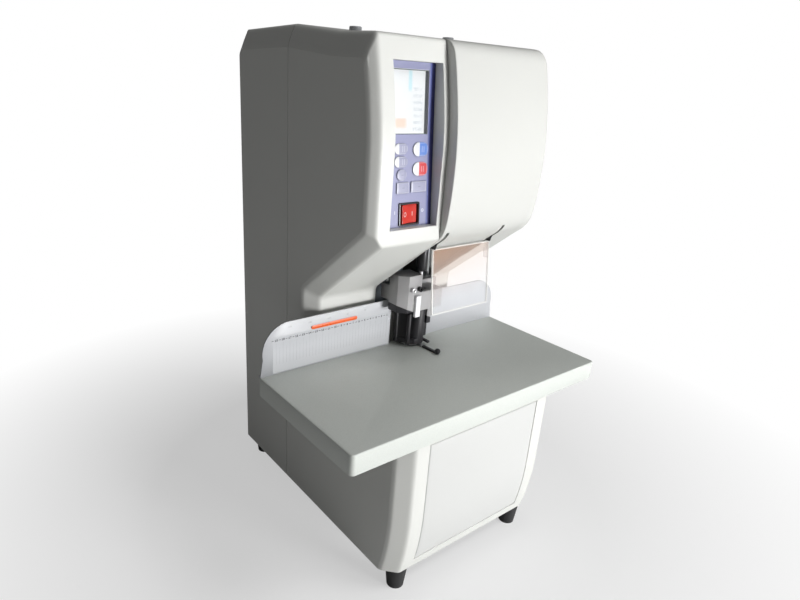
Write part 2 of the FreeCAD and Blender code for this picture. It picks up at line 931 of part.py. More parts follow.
def gauge_plate(outer_x, inner_x):
    """Upright gauge plate with one large rounded end and a foot flange on the table."""
    side = 1 if outer_x > inner_x else -1
    low = Vector(outer_x, gauge_y, table_height)
    shoulder = Vector(outer_x - side * gauge_end_lean, gauge_y, table_height + gauge_end_rise)
    crown = Vector(outer_x - side * gauge_end_run, gauge_y, table_height + gauge_height)
    bow_x = shoulder.x + (crown.x - shoulder.x) * gauge_bulge_share
    bow_z = crown.z - (crown.z - shoulder.z) * gauge_bulge_share
    bow = Vector(bow_x, gauge_y, bow_z)
    far_top = Vector(inner_x, gauge_y, table_height + gauge_height)
    far_low = Vector(inner_x, gauge_y, table_height)
    edges = [Part.makeLine(low, shoulder), Part.Arc(shoulder, bow, crown).toShape(),
             Part.makeLine(crown, far_top), Part.makeLine(far_top, far_low), Part.makeLine(far_low, low)]
    plate = Part.Face(Part.Wire(edges)).extrude(Vector(0, gauge_thickness, 0))
    corner = [e for e in plate.Edges
              if all(math.hypot(v.X - far_top.x, v.Z - far_top.z) < same_place for v in e.Vertexes)]
    plate = plate.makeFillet(gauge_inner_round, corner)
    flange = box(min(outer_x, inner_x), max(outer_x, inner_x), gauge_y + gauge_thickness,
                 gauge_y + gauge_flange + gauge_thickness - gauge_end_margin, table_height,
                 table_height + gauge_thickness)
    return fuse([plate, flange])


def left_gauge_plate():
    """Long gauge plate that carries the scale."""
    return gauge_plate(-table_width / 2 + gauge_end_margin, gauge_middle_left)


def right_gauge_plate():
    """Short gauge plate right of the press foot."""
    return gauge_plate(table_width / 2 - gauge_end_margin, gauge_middle_right)


def gauge_marker():
    """Bright marker bar with rounded ends on the left gauge plate."""
    z = table_height + gauge_height - marker_drop
    radius = marker_height / 2
    right = marker_left + marker_length
    face = gauge_y - marker_thickness
    bar = box(marker_left + radius, right - radius, face, gauge_y, z - radius, z + radius)
    ends = [fore_rod(x, face, gauge_y, z, radius) for x in (marker_left + radius, right - radius)]
    return fuse([bar] + ends)


# Chip drawer

def drawer_outer_y(z):
    """Depth of the drawer front's face: it bows out a little and follows the base's toe."""
    middle = (drawer_bottom + drawer_top) / 2
    span = (drawer_top - drawer_bottom) / 2
    bow = drawer_bulge * (1 - ((z - middle) / span) ** 2)
    toe = max(0.0, (base_curve_height - z) / (base_curve_height - foot_height))
    return base_front_y + (toe_y - base_front_y) * toe ** 2 - bow


def drawer_block(inset, back):
    """Block behind the bowed face, inset all round and on its front, up to a depth."""
    steps = curve_steps * 2
    low = drawer_bottom + inset
    high = drawer_top - inset
    heights = [low + (high - low) * step / steps for step in range(steps + 1)]
    outline = [(drawer_outer_y(z) + inset, z) for z in heights]
    outline += [(back, high), (back, low)]
    return prism_x(outline, -drawer_half_width + inset, drawer_half_width - inset)


def drawer_front():
    """Bowed front panel of the chip drawer, hollow behind."""
    return drawer_block(0.0, drawer_back_y).cut(drawer_block(drawer_panel, drawer_back_y + overrun))


def chip_tray():
    """Open sheet tray behind the drawer front."""
    front = drawer_back_y
    low = drawer_bottom
    tray = box(-tray_half_width, tray_half_width, front, front + tray_depth, low, low + tray_height)
    return tray.cut(box(-tray_half_width + tray_wall, tray_half_width - tray_wall, front + tray_wall,
                        front + tray_depth - tray_wall, low + tray_wall, low + tray_height + overrun))


def drawer_runners():
    """Two angle rails on the base plate that carry and steer the tray."""
    front = toe_y + wall * 4
    rear = toe_y + tray_depth
    rails = []
    for side in (-1, 1):
        inner = tray_half_width - runner_width
        outer = tray_half_width + runner_gap
        seat = box(min(side * inner, side * outer), max(side * inner, side * outer), front, rear,
                   floor_top, drawer_bottom - runner_gap)
        edge = outer + support_wall
        fence = box(min(side * outer, side * edge), max(side * outer, side * edge), front, rear,
                    floor_top, drawer_bottom + runner_width)
        rails.append(fuse([seat, fence]))
    return Part.makeCompound(rails)


# Control panel pieces, in the panel's own frame

def control_panel():
    """Plate with the window, key and switch holes."""
    plate = box(panel_gap, recess_width - panel_gap, 0, panel_thickness, panel_gap,
                recess_height - panel_gap)
    for hole in panel_cutouts(-overrun, panel_thickness + overrun):
        plate = plate.cut(hole)
    return on_panel(plate)


def lcd_window():
    """Clear window in the panel."""
    x = lcd_left + lcd_width / 2
    z = lcd_bottom + lcd_height / 2
    return on_panel(panel_block(x, z, lcd_width, lcd_height, 0, panel_thickness / 2))


def lcd_module():
    """Display behind the window, seated on the board."""
    x = lcd_left + lcd_width / 2
    z = lcd_bottom + lcd_height / 2
    back = panel_thickness + tray_floor + board_standoff
    width = lcd_width - lcd_margin
    height = lcd_height - lcd_margin
    return on_panel(panel_block(x, z, width, height, panel_thickness / 2, back))


def control_board():
    """Circuit board on the posts behind the recess."""
    back = panel_thickness + tray_floor + board_standoff
    plate = box(0, recess_width, back, back + board_thickness, 0, recess_height)
    slot = panel_block(switch_centre_x, switch_centre_up, bezel_width, bezel_height,
                       back - overrun, back + board_thickness + overrun)
    return on_panel(plate.cut(slot))


def key(place):
    """Push key with a stem that reaches towards the board."""
    back = panel_thickness + tray_floor + board_standoff - key_travel * 2
    cap = key_body(place, 0, -key_proud, panel_thickness)
    stem = panel_rod(place[0], place[1], panel_thickness, back, key_stem_radius)
    return on_panel(fuse([cap, stem]))


def switch_bezel():
    """Frame and body of the rocker switch."""
    x = switch_centre_x
    z = switch_centre_up
    flange = panel_block(x, z, bezel_width, bezel_height, -bezel_proud, 0)
    body = panel_block(x, z, bezel_width - bezel_rim, bezel_height - bezel_rim, 0, bezel_depth)
    pocket = panel_block(x, z, bezel_width - bezel_rim * 2, bezel_height - bezel_rim * 2,
                         -bezel_proud - overrun, bezel_depth - bezel_rim)
    reach = bezel_height / 2 - bezel_rim + trunnion_length
    bearing = rod(x, rocker_pivot_depth, z - reach, z + reach, trunnion_radius + running_clearance)
    return on_panel(fuse([flange, body]).cut(pocket).cut(bearing))


def rocker_switch():
    """Rocker with a shallow valley, tipped to its off side about an upright axis."""
    width = bezel_width - bezel_rim * 2 - rocker_end_gap * 2
    height = bezel_height - bezel_rim * 2 - rocker_gap * 2
    half = width / 2
    wing = rocker_valley + half * math.tan(math.radians(rocker_angle))
    outline = [(-half, -wing), (0, -rocker_valley), (half, -wing), (half, 0),
               (half - rocker_depth, rocker_depth), (-half + rocker_depth, rocker_depth), (-half, 0)]
    rocker = prism_z([(x, y - rocker_pivot_depth) for x, y in outline], -height / 2, height / 2)
    reach = height / 2 + rocker_gap + trunnion_length - pin_clearance
    rocker = fuse([rocker, rod(0, 0, -reach, reach, trunnion_radius)])
    rocker.rotate(Vector(0, 0, 0), Vector(0, 0, 1), rocker_angle)
    rocker.translate(Vector(switch_centre_x, rocker_pivot_depth, switch_centre_up))
    return on_panel(rocker)


# Clear guard

def guard_turned(shape):
    """Lean an upright guard piece forwards about the top of the guard."""
    turned = shape.copy()
    turned.rotate(Vector(0, front_y + guard_setback, guard_top), Vector(1, 0, 0), -guard_lean)
    return turned


def guard_panel():
    """Clear panel in front of the drill."""
    y = front_y + guard_setback
    half_arm = arm_thickness / 2
    left = guard_left + half_arm
    right = guard_left + guard_width - half_arm
    return guard_turned(box(left, right, y, y + guard_thickness, guard_top - guard_length, guard_top))


def guard_arms():
    """Two arms that carry the panel on its pin."""
    y = front_y + guard_setback
    pin_y = front_y + guard_pin_setback
    arms = []
    for middle in guard_arm_centres():
        left = middle - arm_thickness / 2
        grip = guard_turned(box(left, left + arm_thickness, y, y + arm_width, guard_top - arm_grip,
                                guard_top))
        half = arm_width / 2
        link = prism_x([(y, guard_top - guard_thickness), (y + arm_width, guard_top - guard_thickness),
                        (pin_y + half, guard_pin_height), (pin_y - half, guard_pin_height)],
                       left, left + arm_thickness)
        eye = cross_rod(left, left + arm_thickness, pin_y, guard_pin_height, half)
        hole = cross_rod(left - overrun, left + arm_thickness + overrun, pin_y, guard_pin_height,
                         guard_pin_radius + pin_clearance)
        arms.append(fuse([grip, link, eye]).cut(hole))
    return Part.makeCompound(arms)


def guard_pin():
    """Pin that the guard turns on."""
    reach = arm_thickness
    return cross_rod(guard_left - reach, guard_left + guard_width + reach, front_y + guard_pin_setback,
                     guard_pin_height, guard_pin_radius)


# Frame, anvil and turntable

def c_frame():
    """Cast C-frame: base arm, column and head arm with its slideway, lugs and motor ear."""
    rear = rear_y - frame_rear_gap
    back = frame_y + frame_throat_run
    front = front_y + frame_base_front
    left = tool_x - frame_half_width
    right = tool_x + frame_half_width
    outline = [(front, floor_top), (rear, floor_top), (rear, frame_top), (frame_y, frame_top),
               (frame_y, frame_nose_height), (back, frame_nose_height - frame_throat_drop),
               (back, frame_base_top), (front, frame_base_top)]
    frame = prism_x(outline, left, right)
    pocket = inset_outline([(y, z, "rim") for y, z in outline], 0.0, 1.0, frame_rim)
    frame = frame.cut(prism_x(pocket, left - overrun, tool_x - frame_web / 2))
    frame = frame.cut(prism_x(pocket, tool_x + frame_web / 2, right + overrun))
    pieces = [frame]
    for x in press_rod_xs():
        pieces.append(box(x - frame_lug_half_width, x + frame_lug_half_width, frame_y - frame_lug_reach,
                          frame_y, frame_lug_bottom, frame_lug_bottom + frame_lug_height))
    ear_x = tool_x + screw_offset
    pieces.append(box(ear_x - frame_ear_half_width, ear_x + frame_ear_half_width, frame_y - frame_ear_reach,
                      frame_y, frame_top - frame_ear_height, frame_top))
    frame = fuse(pieces)
    for x in press_rod_xs():
        frame = frame.cut(rod(x, tool_y + rod_y_offset, frame_nose_height, actuator_bottom,
                              rod_radius + running_clearance))
    return frame.cut(rod(ear_x, tool_y + screw_y_offset, frame_nose_height, frame_top + overrun,
                         screw_radius + running_clearance))


def press_rod_xs():
    """X of both press rods."""
    return (tool_x - rod_spread / 2, tool_x + rod_spread / 2)


def anvil_post():
    """Steel post on the frame's base arm that backs the turntable, with its pivot pin."""
    y = tool_y + turntable_offset
    top = table_height + turntable_gap
    post = rod(tool_x, y, frame_base_top, table_height, post_radius)
    pivot = rod(tool_x, y, table_height, top + turntable_thickness - turntable_gap, pivot_radius)
    return fuse([post, pivot])


def die_heater():
    """Band heater round the anvil post."""
    y = tool_y + turntable_offset
    return tube(tool_x, y, die_heater_bottom, die_heater_bottom + die_heater_height, die_heater_radius,
                post_radius)


def insert_place(turn):
    """(x, y) of a turntable insert, turned about the pivot from the tool axis."""
    angle = math.radians(turn)
    return (tool_x + turntable_offset * math.sin(angle),
            tool_y + turntable_offset - turntable_offset * math.cos(angle))


def turntable():
    """Disc with seats for the cutting pad and the rivet die, and the lever that turns it."""
    y = tool_y + turntable_offset
    low = table_height + turntable_gap
    top = low + turntable_thickness
    disc = rod(tool_x, y, low, top, turntable_radius)
    half = lever_width / 2
    lever = prism_z([(tool_x - half, y), (tool_x + half, y),
                     (tool_x + lever_side_step + half, y - lever_reach),
                     (tool_x + lever_side_step - half, y - lever_reach)], low, low + lever_thickness)
    tip = Part.makeSphere(lever_tip_radius, Vector(tool_x + lever_side_step, y - lever_reach,
                                                   low + lever_tip_radius))
    piece = fuse([disc, lever, tip])
    piece = piece.cut(rod(tool_x, y, low - overrun, top + overrun, pivot_radius + running_clearance))
    for turn in (0, -station_angle):
        x, seat_y = insert_place(turn)
        piece = piece.cut(rod(x, seat_y, low - overrun, top + overrun, insert_radius))
    return piece


def cutting_pad():
    """Plastic insert that the drill runs out into."""
    x, y = insert_place(0)
    low = table_height + turntable_gap
    return rod(x, y, low, low + turntable_thickness - insert_recess, insert_radius)


def rivet_die():
    """Brass insert with the cup that closes the rivet's lower end."""
    x, y = insert_place(-station_angle)
    low = table_height + turntable_gap
    top = low + turntable_thickness - insert_recess
    return rod(x, y, low, top, insert_radius).cut(rod(x, y, top - rivet_cup_depth, top + overrun,
                                                      rivet_cup_radius))


# Press foot and its carriage

def press_foot():
    """Black foot that clamps the paper round the drill, with its finger and guide post."""
    low = table_height + foot_gap
    back = tool_y + foot_back_offset
    left = tool_x + foot_left
    right = tool_x + foot_right
    nose = tool_y - foot_nose_reach
    waist = tool_y + foot_waist_offset
    outline = [(left, back), (left, tool_y + foot_left_setback), (tool_x + foot_nose_left, nose),
               (tool_x + foot_nose_right, nose), (tool_x + foot_waist_right, waist), (right, waist),
               (right, back)]
    slab = prism_z(outline, low, low + foot_slab)
    wall_step = tool_x + foot_step_x
    tall_wall = box(left, wall_step, back - foot_wall, back, low, foot_top_z)
    low_wall = box(wall_step, right, waist, back, low, foot_top_z - foot_step_drop)
    cheek = prism_z([(left, back), (left, tool_y + foot_left_setback),
                     (left + foot_cheek_width, tool_y + foot_left_setback - foot_cheek_width),
                     (left + foot_cheek_width, back)], low, foot_top_z)
    sleeve = rod(tool_x, tool_y, low, foot_top_z, foot_sleeve_radius)
    finger_left = tool_x + finger_x - finger_width / 2
    finger = box(finger_left, finger_left + finger_width, waist - finger_reach, waist + foot_wall, low,
                 low + finger_thickness)
    post = rod(tool_x + guide_post_x, tool_y - guide_post_y, low, foot_top_z - foot_slab, guide_post_radius)
    foot = fuse([slab, tall_wall, low_wall, cheek, sleeve, finger, post])
    foot = foot.cut(rod(tool_x, tool_y, low - overrun, foot_top_z, foot_bore_radius))
    return foot.cut(rod(tool_x, tool_y, low + foot_slab, foot_top_z + overrun, foot_sleeve_bore))


def press_carriage():
    """Grey carriage above the foot: tower, saddle round the drill, rear flange and side arm."""
    front = tool_y - press_front_reach
    back = tool_y + press_back_reach
    left = tool_x + press_left
    step = tool_x + press_step_x
    right = tool_x + press_right
    tower = box(left, step, front, back, foot_top_z, foot_top_z + press_tower_height)
    cut = press_corner_cut
    corner = prism_z([(left - overrun, front - overrun), (left + cut, front - overrun),
                      (left - overrun, front + cut)], foot_top_z - overrun,
                     foot_top_z + press_tower_height + overrun)
    saddle = box(step, right, front, back, foot_top_z, foot_top_z + press_saddle_height)
    flange_low = foot_top_z + press_flange_lift
    flange = box(tool_x + press_flange_left, tool_x + press_flange_right, back,
                 tool_y + press_flange_back, flange_low, flange_low + press_flange_height)
    arm_left = tool_x + press_arm_left
    waist = tool_y + foot_waist_offset
    arm = box(arm_left, arm_left + press_arm_width, waist - press_arm_depth, waist,
              foot_top_z - foot_step_drop, foot_top_z)
    carriage = fuse([tower.cut(corner), saddle, flange, arm])
    top = foot_top_z + press_saddle_height + overrun
    carriage = carriage.cut(rod(tool_x, tool_y, foot_top_z - overrun, top, press_bore_radius))
    carriage = carriage.cut(rod(tool_x, tool_y, foot_top_z, foot_top_z + heater_ring_height,
                                press_bore_radius + heater_ring_width / 2))
    for x in press_rod_xs():
        carriage = carriage.cut(rod(x, tool_y + rod_y_offset, flange_low,
                                    flange_low + press_flange_height + overrun, rod_radius))
    return carriage


def heater_ring():
    """Heated ring in the saddle that softens the rivet's upper end."""
    return tube(tool_x, tool_y, foot_top_z, foot_top_z + heater_ring_height,
                press_bore_radius + heater_ring_width / 2, press_bore_radius)


def press_rods():
    """Two steel rods that guide the press carriage; the right one is driven."""
    y = tool_y + rod_y_offset
    low = foot_top_z + press_flange_lift
    rods = [rod(x, y, low, low + length, rod_radius)
            for x, length in zip(press_rod_xs(), (left_rod_length, actuator_bottom + rod_grip - low))]
    return Part.makeCompound(rods)


def clamp_screws():
    """Socket screws on the front of the press carriage."""
    front = tool_y - press_front_reach
    screws = []
    for offset in clamp_xs:
        x = tool_x + offset
        z = foot_top_z + clamp_height
        head = fore_rod(x, front - clamp_head_length, front, z, clamp_head_radius)
        socket = fore_rod(x, front - clamp_head_length - overrun, front - clamp_head_length / 2, z,
                          clamp_socket_radius)
        screws.append(head.cut(socket))
    return Part.makeCompound(screws)


def press_actuator():
    """Cylinder on the frame that lifts the press carriage by its right rod."""
    x = press_rod_xs()[1]
    y = tool_y + rod_y_offset
    body = rod(x, y, actuator_bottom, actuator_bottom + actuator_height, actuator_radius)
    mount = box(x - actuator_radius, x + actuator_radius, y, frame_y, actuator_bottom,
                actuator_bottom + actuator_height)
    bore = rod(x, y, actuator_bottom - overrun, actuator_bottom + actuator_height - actuator_radius,
               rod_radius + running_clearance)
    return fuse([body, mount]).cut(bore)


# Drill feed

def slide_rail():
    """Rail on the frame's face that the feed carriage runs on."""
    return box(tool_x - rail_width / 2, tool_x + rail_width / 2, frame_y - rail_depth, frame_y,
               frame_nose_height, frame_top - frame_ear_height)


def feed_carriage():
    """Block that carries the spindle, with its rail groove, nut bore and bearing seats."""
    block = box(tool_x - carriage_half_width, tool_x + carriage_half_width, tool_y - carriage_front_reach,
                tool_y + carriage_back_reach, carriage_bottom, carriage_top)
    groove = box(tool_x - rail_width / 2 - rail_gap, tool_x + rail_width / 2 + rail_gap,
                 frame_y - rail_depth - rail_gap, frame_y, carriage_bottom - overrun, carriage_top + overrun)
    low = carriage_bottom - overrun
    high = carriage_top + overrun
    block = block.cut(groove)
    block = block.cut(rod(tool_x + screw_offset, tool_y + screw_y_offset, low, high,
                          screw_radius + running_clearance))
    block = block.cut(rod(tool_x, tool_y, low, high, bore_relief))
    for bottom in bearing_bottoms():
        block = block.cut(rod(tool_x, tool_y, bottom, bottom + bearing_width, bearing_radius))
    return block


def bearing_bottoms():
    """Lower face of both spindle bearings."""
    return (carriage_bottom, carriage_top - bearing_width)


def spindle_bearings():
    """Two ball bearings with grooved faces."""
    bearings = []
    for bottom in bearing_bottoms():
        top = bottom + bearing_width
        ring = tube(tool_x, tool_y, bottom, top, bearing_radius, spindle_radius + running_clearance)
        inner = spindle_radius + bearing_race
        outer = bearing_radius - bearing_race
        ring = ring.cut(tube(tool_x, tool_y, bottom - overrun, bottom + bearing_recess, outer, inner))
        ring = ring.cut(tube(tool_x, tool_y, top - bearing_recess, top + overrun, outer, inner))
        bearings.append(ring)
    return Part.makeCompound(bearings)


def pulley(y, radius, bore):
    """Flanged belt pulley."""
    top = pulley_bottom + pulley_height
    blank = rod(tool_x, y, pulley_bottom, top, radius)
    groove = tube(tool_x, y, pulley_bottom + pulley_flange, top - pulley_flange, radius + overrun,
                  radius - belt_seat)
    return blank.cut(groove).cut(rod(tool_x, y, pulley_bottom - overrun, top + overrun, bore))


def spindle_pulley():
    """Large pulley on the spindle."""
    return pulley(tool_y, spindle_pulley_radius, spindle_radius)


def motor_pulley():
    """Small pulley with the motor's shaft."""
    y = tool_y - drive_centres
    wheel = pulley(y, motor_pulley_radius, motor_shaft_radius)
    shaft = rod(tool_x, y, pulley_bottom, plate_bottom + plate_thickness + motor_shaft_grip,
                motor_shaft_radius)
    return fuse([wheel, shaft])


def belt_loop(grow):
    """Plan of the belt as a face: two arcs and their outer tangents, grown by a distance."""
    large = spindle_pulley_radius - belt_seat + belt_gap + grow
    small = motor_pulley_radius - belt_seat + belt_gap + grow
    far_y = tool_y - drive_centres
    z = pulley_bottom + pulley_flange + belt_margin
    lean = (large - small) / drive_centres
    flat = math.sqrt(1 - lean * lean)
    points = {}
    for side in (-1, 1):
        points[side] = (Vector(tool_x + side * large * flat, tool_y - large * lean, z),
                        Vector(tool_x + side * small * flat, far_y - small * lean, z))
    rear = Part.Arc(points[-1][0], Vector(tool_x, tool_y + large, z), points[1][0]).toShape()
    front = Part.Arc(points[1][1], Vector(tool_x, far_y - small, z), points[-1][1]).toShape()
    edges = [rear, Part.makeLine(points[1][0], points[1][1]), front,
             Part.makeLine(points[-1][1], points[-1][0])]
    return Part.Face(Part.Wire(edges))


def drive_belt():
    """Flat belt between both pulleys."""
    height = pulley_height - pulley_flange * 2 - belt_margin * 2
    rise = Vector(0, 0, height)
    return belt_loop(belt_thickness).extrude(rise).cut(belt_loop(0.0).extrude(rise))


def motor_plate():
    """Plate on four posts that carries the drill motor."""
    left = tool_x - carriage_half_width
    right = tool_x + carriage_half_width
    plate = box(left, right, tool_y - plate_front_reach, tool_y + plate_back_reach, plate_bottom,
                plate_bottom + plate_thickness)
    posts = [rod(tool_x + side * plate_post_x, tool_y + y, carriage_top, plate_bottom, plate_post_radius)
             for side in (-1, 1) for y in plate_post_ys]
    shaft_hole = motor_shaft_radius + motor_rim
    return fuse([plate] + posts).cut(rod(tool_x, tool_y - drive_centres, plate_bottom - overrun,
                                         plate_bottom + plate_thickness + overrun, shaft_hole))


def drill_motor():
    """Drill motor with a stepped end cap."""
    y = tool_y - drive_centres
    low = plate_bottom + plate_thickness
    top = brow_height - motor_head_room
    body = rod(tool_x, y, low, top - drill_motor_cap, drill_motor_radius)
    cap = rod(tool_x, y, top - drill_motor_cap, top, drill_motor_radius - motor_rim)
    bore = rod(tool_x, y, low - overrun, low + motor_shaft_grip + motor_rim,
               motor_shaft_radius + running_clearance)
    return fuse([body, cap]).cut(bore)


def feed_screw():
    """Steep lead screw that moves the feed carriage."""
    return rod(tool_x + screw_offset, tool_y + screw_y_offset, screw_bottom, screw_top, screw_radius)


def feed_motor():
    """Geared motor on the frame's ear that turns the feed screw."""
    x = tool_x + screw_offset
    y = tool_y + screw_y_offset
    body = rod(x, y, frame_top, frame_top + feed_motor_height, feed_motor_radius)
    bore = rod(x, y, frame_top - overrun, screw_top + motor_rim, screw_radius + running_clearance)
    return body.cut(bore)


def spindle():
    """Hollow spindle shaft."""
    return tube(tool_x, tool_y, spindle_bottom, spindle_top, spindle_radius, spindle_bore_radius)


def drill_chuck():
    """Clamping nose between the spindle and the drill."""
    body = rod(tool_x, tool_y, chuck_bottom, chuck_top, chuck_radius)
    body = body.makeChamfer(chuck_chamfer, edges_at_height(body, chuck_bottom))
    body = body.cut(rod(tool_x, tool_y, spindle_bottom, chuck_top + overrun, spindle_radius))
    return body.cut(rod(tool_x, tool_y, chuck_bottom - overrun, spindle_bottom, shank_radius))


def hollow_drill():
    """Hollow drill: a thin tube with a sharpened mouth below a thicker shank."""
    shank = rod(tool_x, tool_y, chuck_bottom, spindle_bottom, shank_radius)
    mouth = drill_radius - drill_edge
    taper = Part.makeCone(mouth, drill_radius, drill_radius, Vector(tool_x, tool_y, drill_tip))
    blade = rod(tool_x, tool_y, drill_tip + drill_radius, chuck_bottom, drill_radius)
    drill = fuse([shank, blade, taper])
    return drill.cut(rod(tool_x, tool_y, drill_tip - overrun, spindle_bottom + overrun,
                         spindle_bore_radius))


# Electrical parts in the base

def power_inlet():
    """Power socket behind the rear cover, with its three contacts."""
    x = power_inlet_x
    z = power_inlet_height
    face = rear_y - wall
    half_w = inlet_hole_width / 2
    half_h = inlet_hole_height / 2
    flange = box(x - half_w - power_flange, x + half_w + power_flange, face - power_flange_thickness, face,
                 z - half_h - power_flange, z + half_h + power_flange)
    body = box(x - half_w, x + half_w, face - power_body_depth, face, z - half_h, z + half_h)
    rim = power_socket_rim
    socket = box(x - half_w + rim, x + half_w - rim, face - power_socket_depth, face + overrun,
                 z - half_h + rim, z + half_h - rim)
    pins = []
    for step in (-1, 0, 1):
        middle = x + step * power_pin_pitch
        pins.append(box(middle - power_pin_width / 2, middle + power_pin_width / 2,
                        face - power_socket_depth - overrun, face - power_socket_depth + power_pin_length,
                        z - power_pin_height / 2, z + power_pin_height / 2))
    return fuse([fuse([flange, body]).cut(socket)] + pins)


def power_supply():
    """Finned power supply box on the base plate."""
    front = rear_y - supply_rear_gap - supply_depth
    right = supply_left + supply_width
    top = floor_top + supply_height
    supply = box(supply_left, right, front, front + supply_depth, floor_top, top)
    fins = int(supply_width / (supply_fin_width * 2))
    pitch = supply_width / (fins * 2 + 1)
    for fin in range(fins):
        left = supply_left + pitch * (fin * 2 + 1)
        supply = supply.cut(box(left, left + pitch, front - overrun, front + supply_depth + overrun,
                                top - supply_fin_depth, top + overrun))
    return supply


# Every sub-part under its own name

def all_parts():
    """Name and shape of every sub-part."""
    outer = front_shell_outer()
    parts = {
        "front_shell": front_shell(), "rear_cover": rear_cover(), "right_head_cover": right_head_cover(),
        "base_plate": base_plate(), "rubber_feet": rubber_feet(), "work_table": work_table(),
        "table_supports": table_supports(), "left_gauge_plate": left_gauge_plate(),
        "right_gauge_plate": right_gauge_plate(), "gauge_marker": gauge_marker(),
        "tube_inlet": top_fitting(inlet_x, outer, inlet_bore_radius),
        "lift_plug": top_fitting(plug_x, outer, 0), "rear_cover_screws": rear_cover_screws(),
        "power_inlet": power_inlet(), "power_supply": power_supply(),
        "drawer_front": drawer_front(), "chip_tray": chip_tray(), "drawer_runners": drawer_runners(),
        "control_panel": control_panel(), "lcd_window": lcd_window(), "lcd_module": lcd_module(),
        "control_board": control_board(), "switch_bezel": switch_bezel(), "rocker_switch": rocker_switch(),
        "guard_panel": guard_panel(), "guard_arms": guard_arms(), "guard_pin": guard_pin(),
        "c_frame": c_frame(), "anvil_post": anvil_post(), "die_heater": die_heater(),
        "turntable": turntable(), "cutting_pad": cutting_pad(), "rivet_die": rivet_die(),
        "press_foot": press_foot(), "press_carriage": press_carriage(), "heater_ring": heater_ring(),
        "press_rods": press_rods(), "clamp_screws": clamp_screws(), "press_actuator": press_actuator(),
        "slide_rail": slide_rail(), "feed_carriage": feed_carriage(), "spindle_bearings": spindle_bearings(),
        "motor_plate": motor_plate(), "drill_motor": drill_motor(), "motor_pulley": motor_pulley(),
        "drive_belt": drive_belt(), "spindle": spindle(), "spindle_pulley": spindle_pulley(),
        "drill_chuck": drill_chuck(), "hollow_drill": hollow_drill(), "feed_screw": feed_screw(),
        "feed_motor": feed_motor()}
    for name, place in key_places().items():
        parts[name] = key(place)
    return parts


def main():
    """Write one STEP file per sub-part and print what each holds."""
    os.makedirs("parts", exist_ok=True)
    for name, shape in all_parts().items():
        shape.exportStep(os.path.join("parts", name + ".step"))
        size = shape.optimalBoundingBox()
        print(f"{name}: {len(shape.Solids)} solids, valid {shape.isValid()}, volume {shape.Volume:.0f} mm3, "
              f"x {size.XMin:.1f}..{size.XMax:.1f} y {size.YMin:.1f}..{size.YMax:.1f} "
              f"z {size.ZMin:.1f}..{size.ZMax:.1f}")


main()
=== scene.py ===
# %% [markdown]
# A desk machine that rivets stacks of paper. Its solids come from the CAD model, already at their real size
# and place. This lesson gives them their finish, and remakes the pieces whose soft forms show: the casing, the
# drawer front, what lies on the control panel, the scale and the guard.

# %% Load the frame
import math

import bmesh
import bpy
import numpy as np
from mathutils import Matrix, Vector

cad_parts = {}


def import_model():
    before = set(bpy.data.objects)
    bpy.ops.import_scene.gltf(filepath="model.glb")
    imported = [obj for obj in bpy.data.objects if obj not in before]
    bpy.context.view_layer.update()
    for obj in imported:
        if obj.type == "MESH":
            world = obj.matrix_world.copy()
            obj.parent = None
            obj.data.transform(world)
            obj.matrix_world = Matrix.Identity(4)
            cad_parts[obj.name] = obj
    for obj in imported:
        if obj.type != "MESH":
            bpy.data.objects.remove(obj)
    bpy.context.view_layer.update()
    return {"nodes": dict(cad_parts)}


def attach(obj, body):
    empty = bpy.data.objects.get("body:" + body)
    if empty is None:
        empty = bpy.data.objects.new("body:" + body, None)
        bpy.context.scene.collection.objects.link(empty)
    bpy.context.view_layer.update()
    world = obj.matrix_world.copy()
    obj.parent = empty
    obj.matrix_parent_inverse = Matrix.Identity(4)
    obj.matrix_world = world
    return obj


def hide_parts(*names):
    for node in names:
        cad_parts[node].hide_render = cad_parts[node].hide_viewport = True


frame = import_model()
NODES = frame["nodes"]
MM = 0.001

# %% [markdown]
# Shader maths reads best as plain sums. One small class wraps an output socket, so that an expression on
# values adds its Math nodes, and one method makes every other node. Masks can then be written as formulas.

# %% A socket that can be calculated with


class Value:
    """An output socket; sums and comparisons on it add Math nodes."""

    def __init__(self, finish, socket):
        self.finish = finish
        self.socket = socket

    def math(self, operation, *values):
        return self.finish.node("ShaderNodeMath", {"operation": operation}, dict(enumerate(values)))

    def __rsub__(self, other):
        return self.math("SUBTRACT", other, self)

    def __abs__(self):
        return self.math("ABSOLUTE", self)

    def root(self):
        return self.math("SQRT", self)

    def ramp(self, low, high):
        """0 below low, 1 above high and a straight line between them."""
        return self.finish.node("ShaderNodeMapRange", {}, {"Value": self, "From Min": low, "From Max": high})


def joined_by(operation):
    """Method that joins a value with another value, or with a number, in one Math node."""
    return lambda value, other: value.math(operation, value, other)


for method, operation in {"__add__": "ADD", "__radd__": "ADD", "__sub__": "SUBTRACT", "__mul__": "MULTIPLY",
                          "__rmul__": "MULTIPLY", "__mod__": "FLOORED_MODULO", "__gt__": "GREATER_THAN",
                          "__lt__": "LESS_THAN", "smallest": "MINIMUM", "largest": "MAXIMUM"}.items():
    setattr(Value, method, joined_by(operation))

# %% A finish: one material with its shader


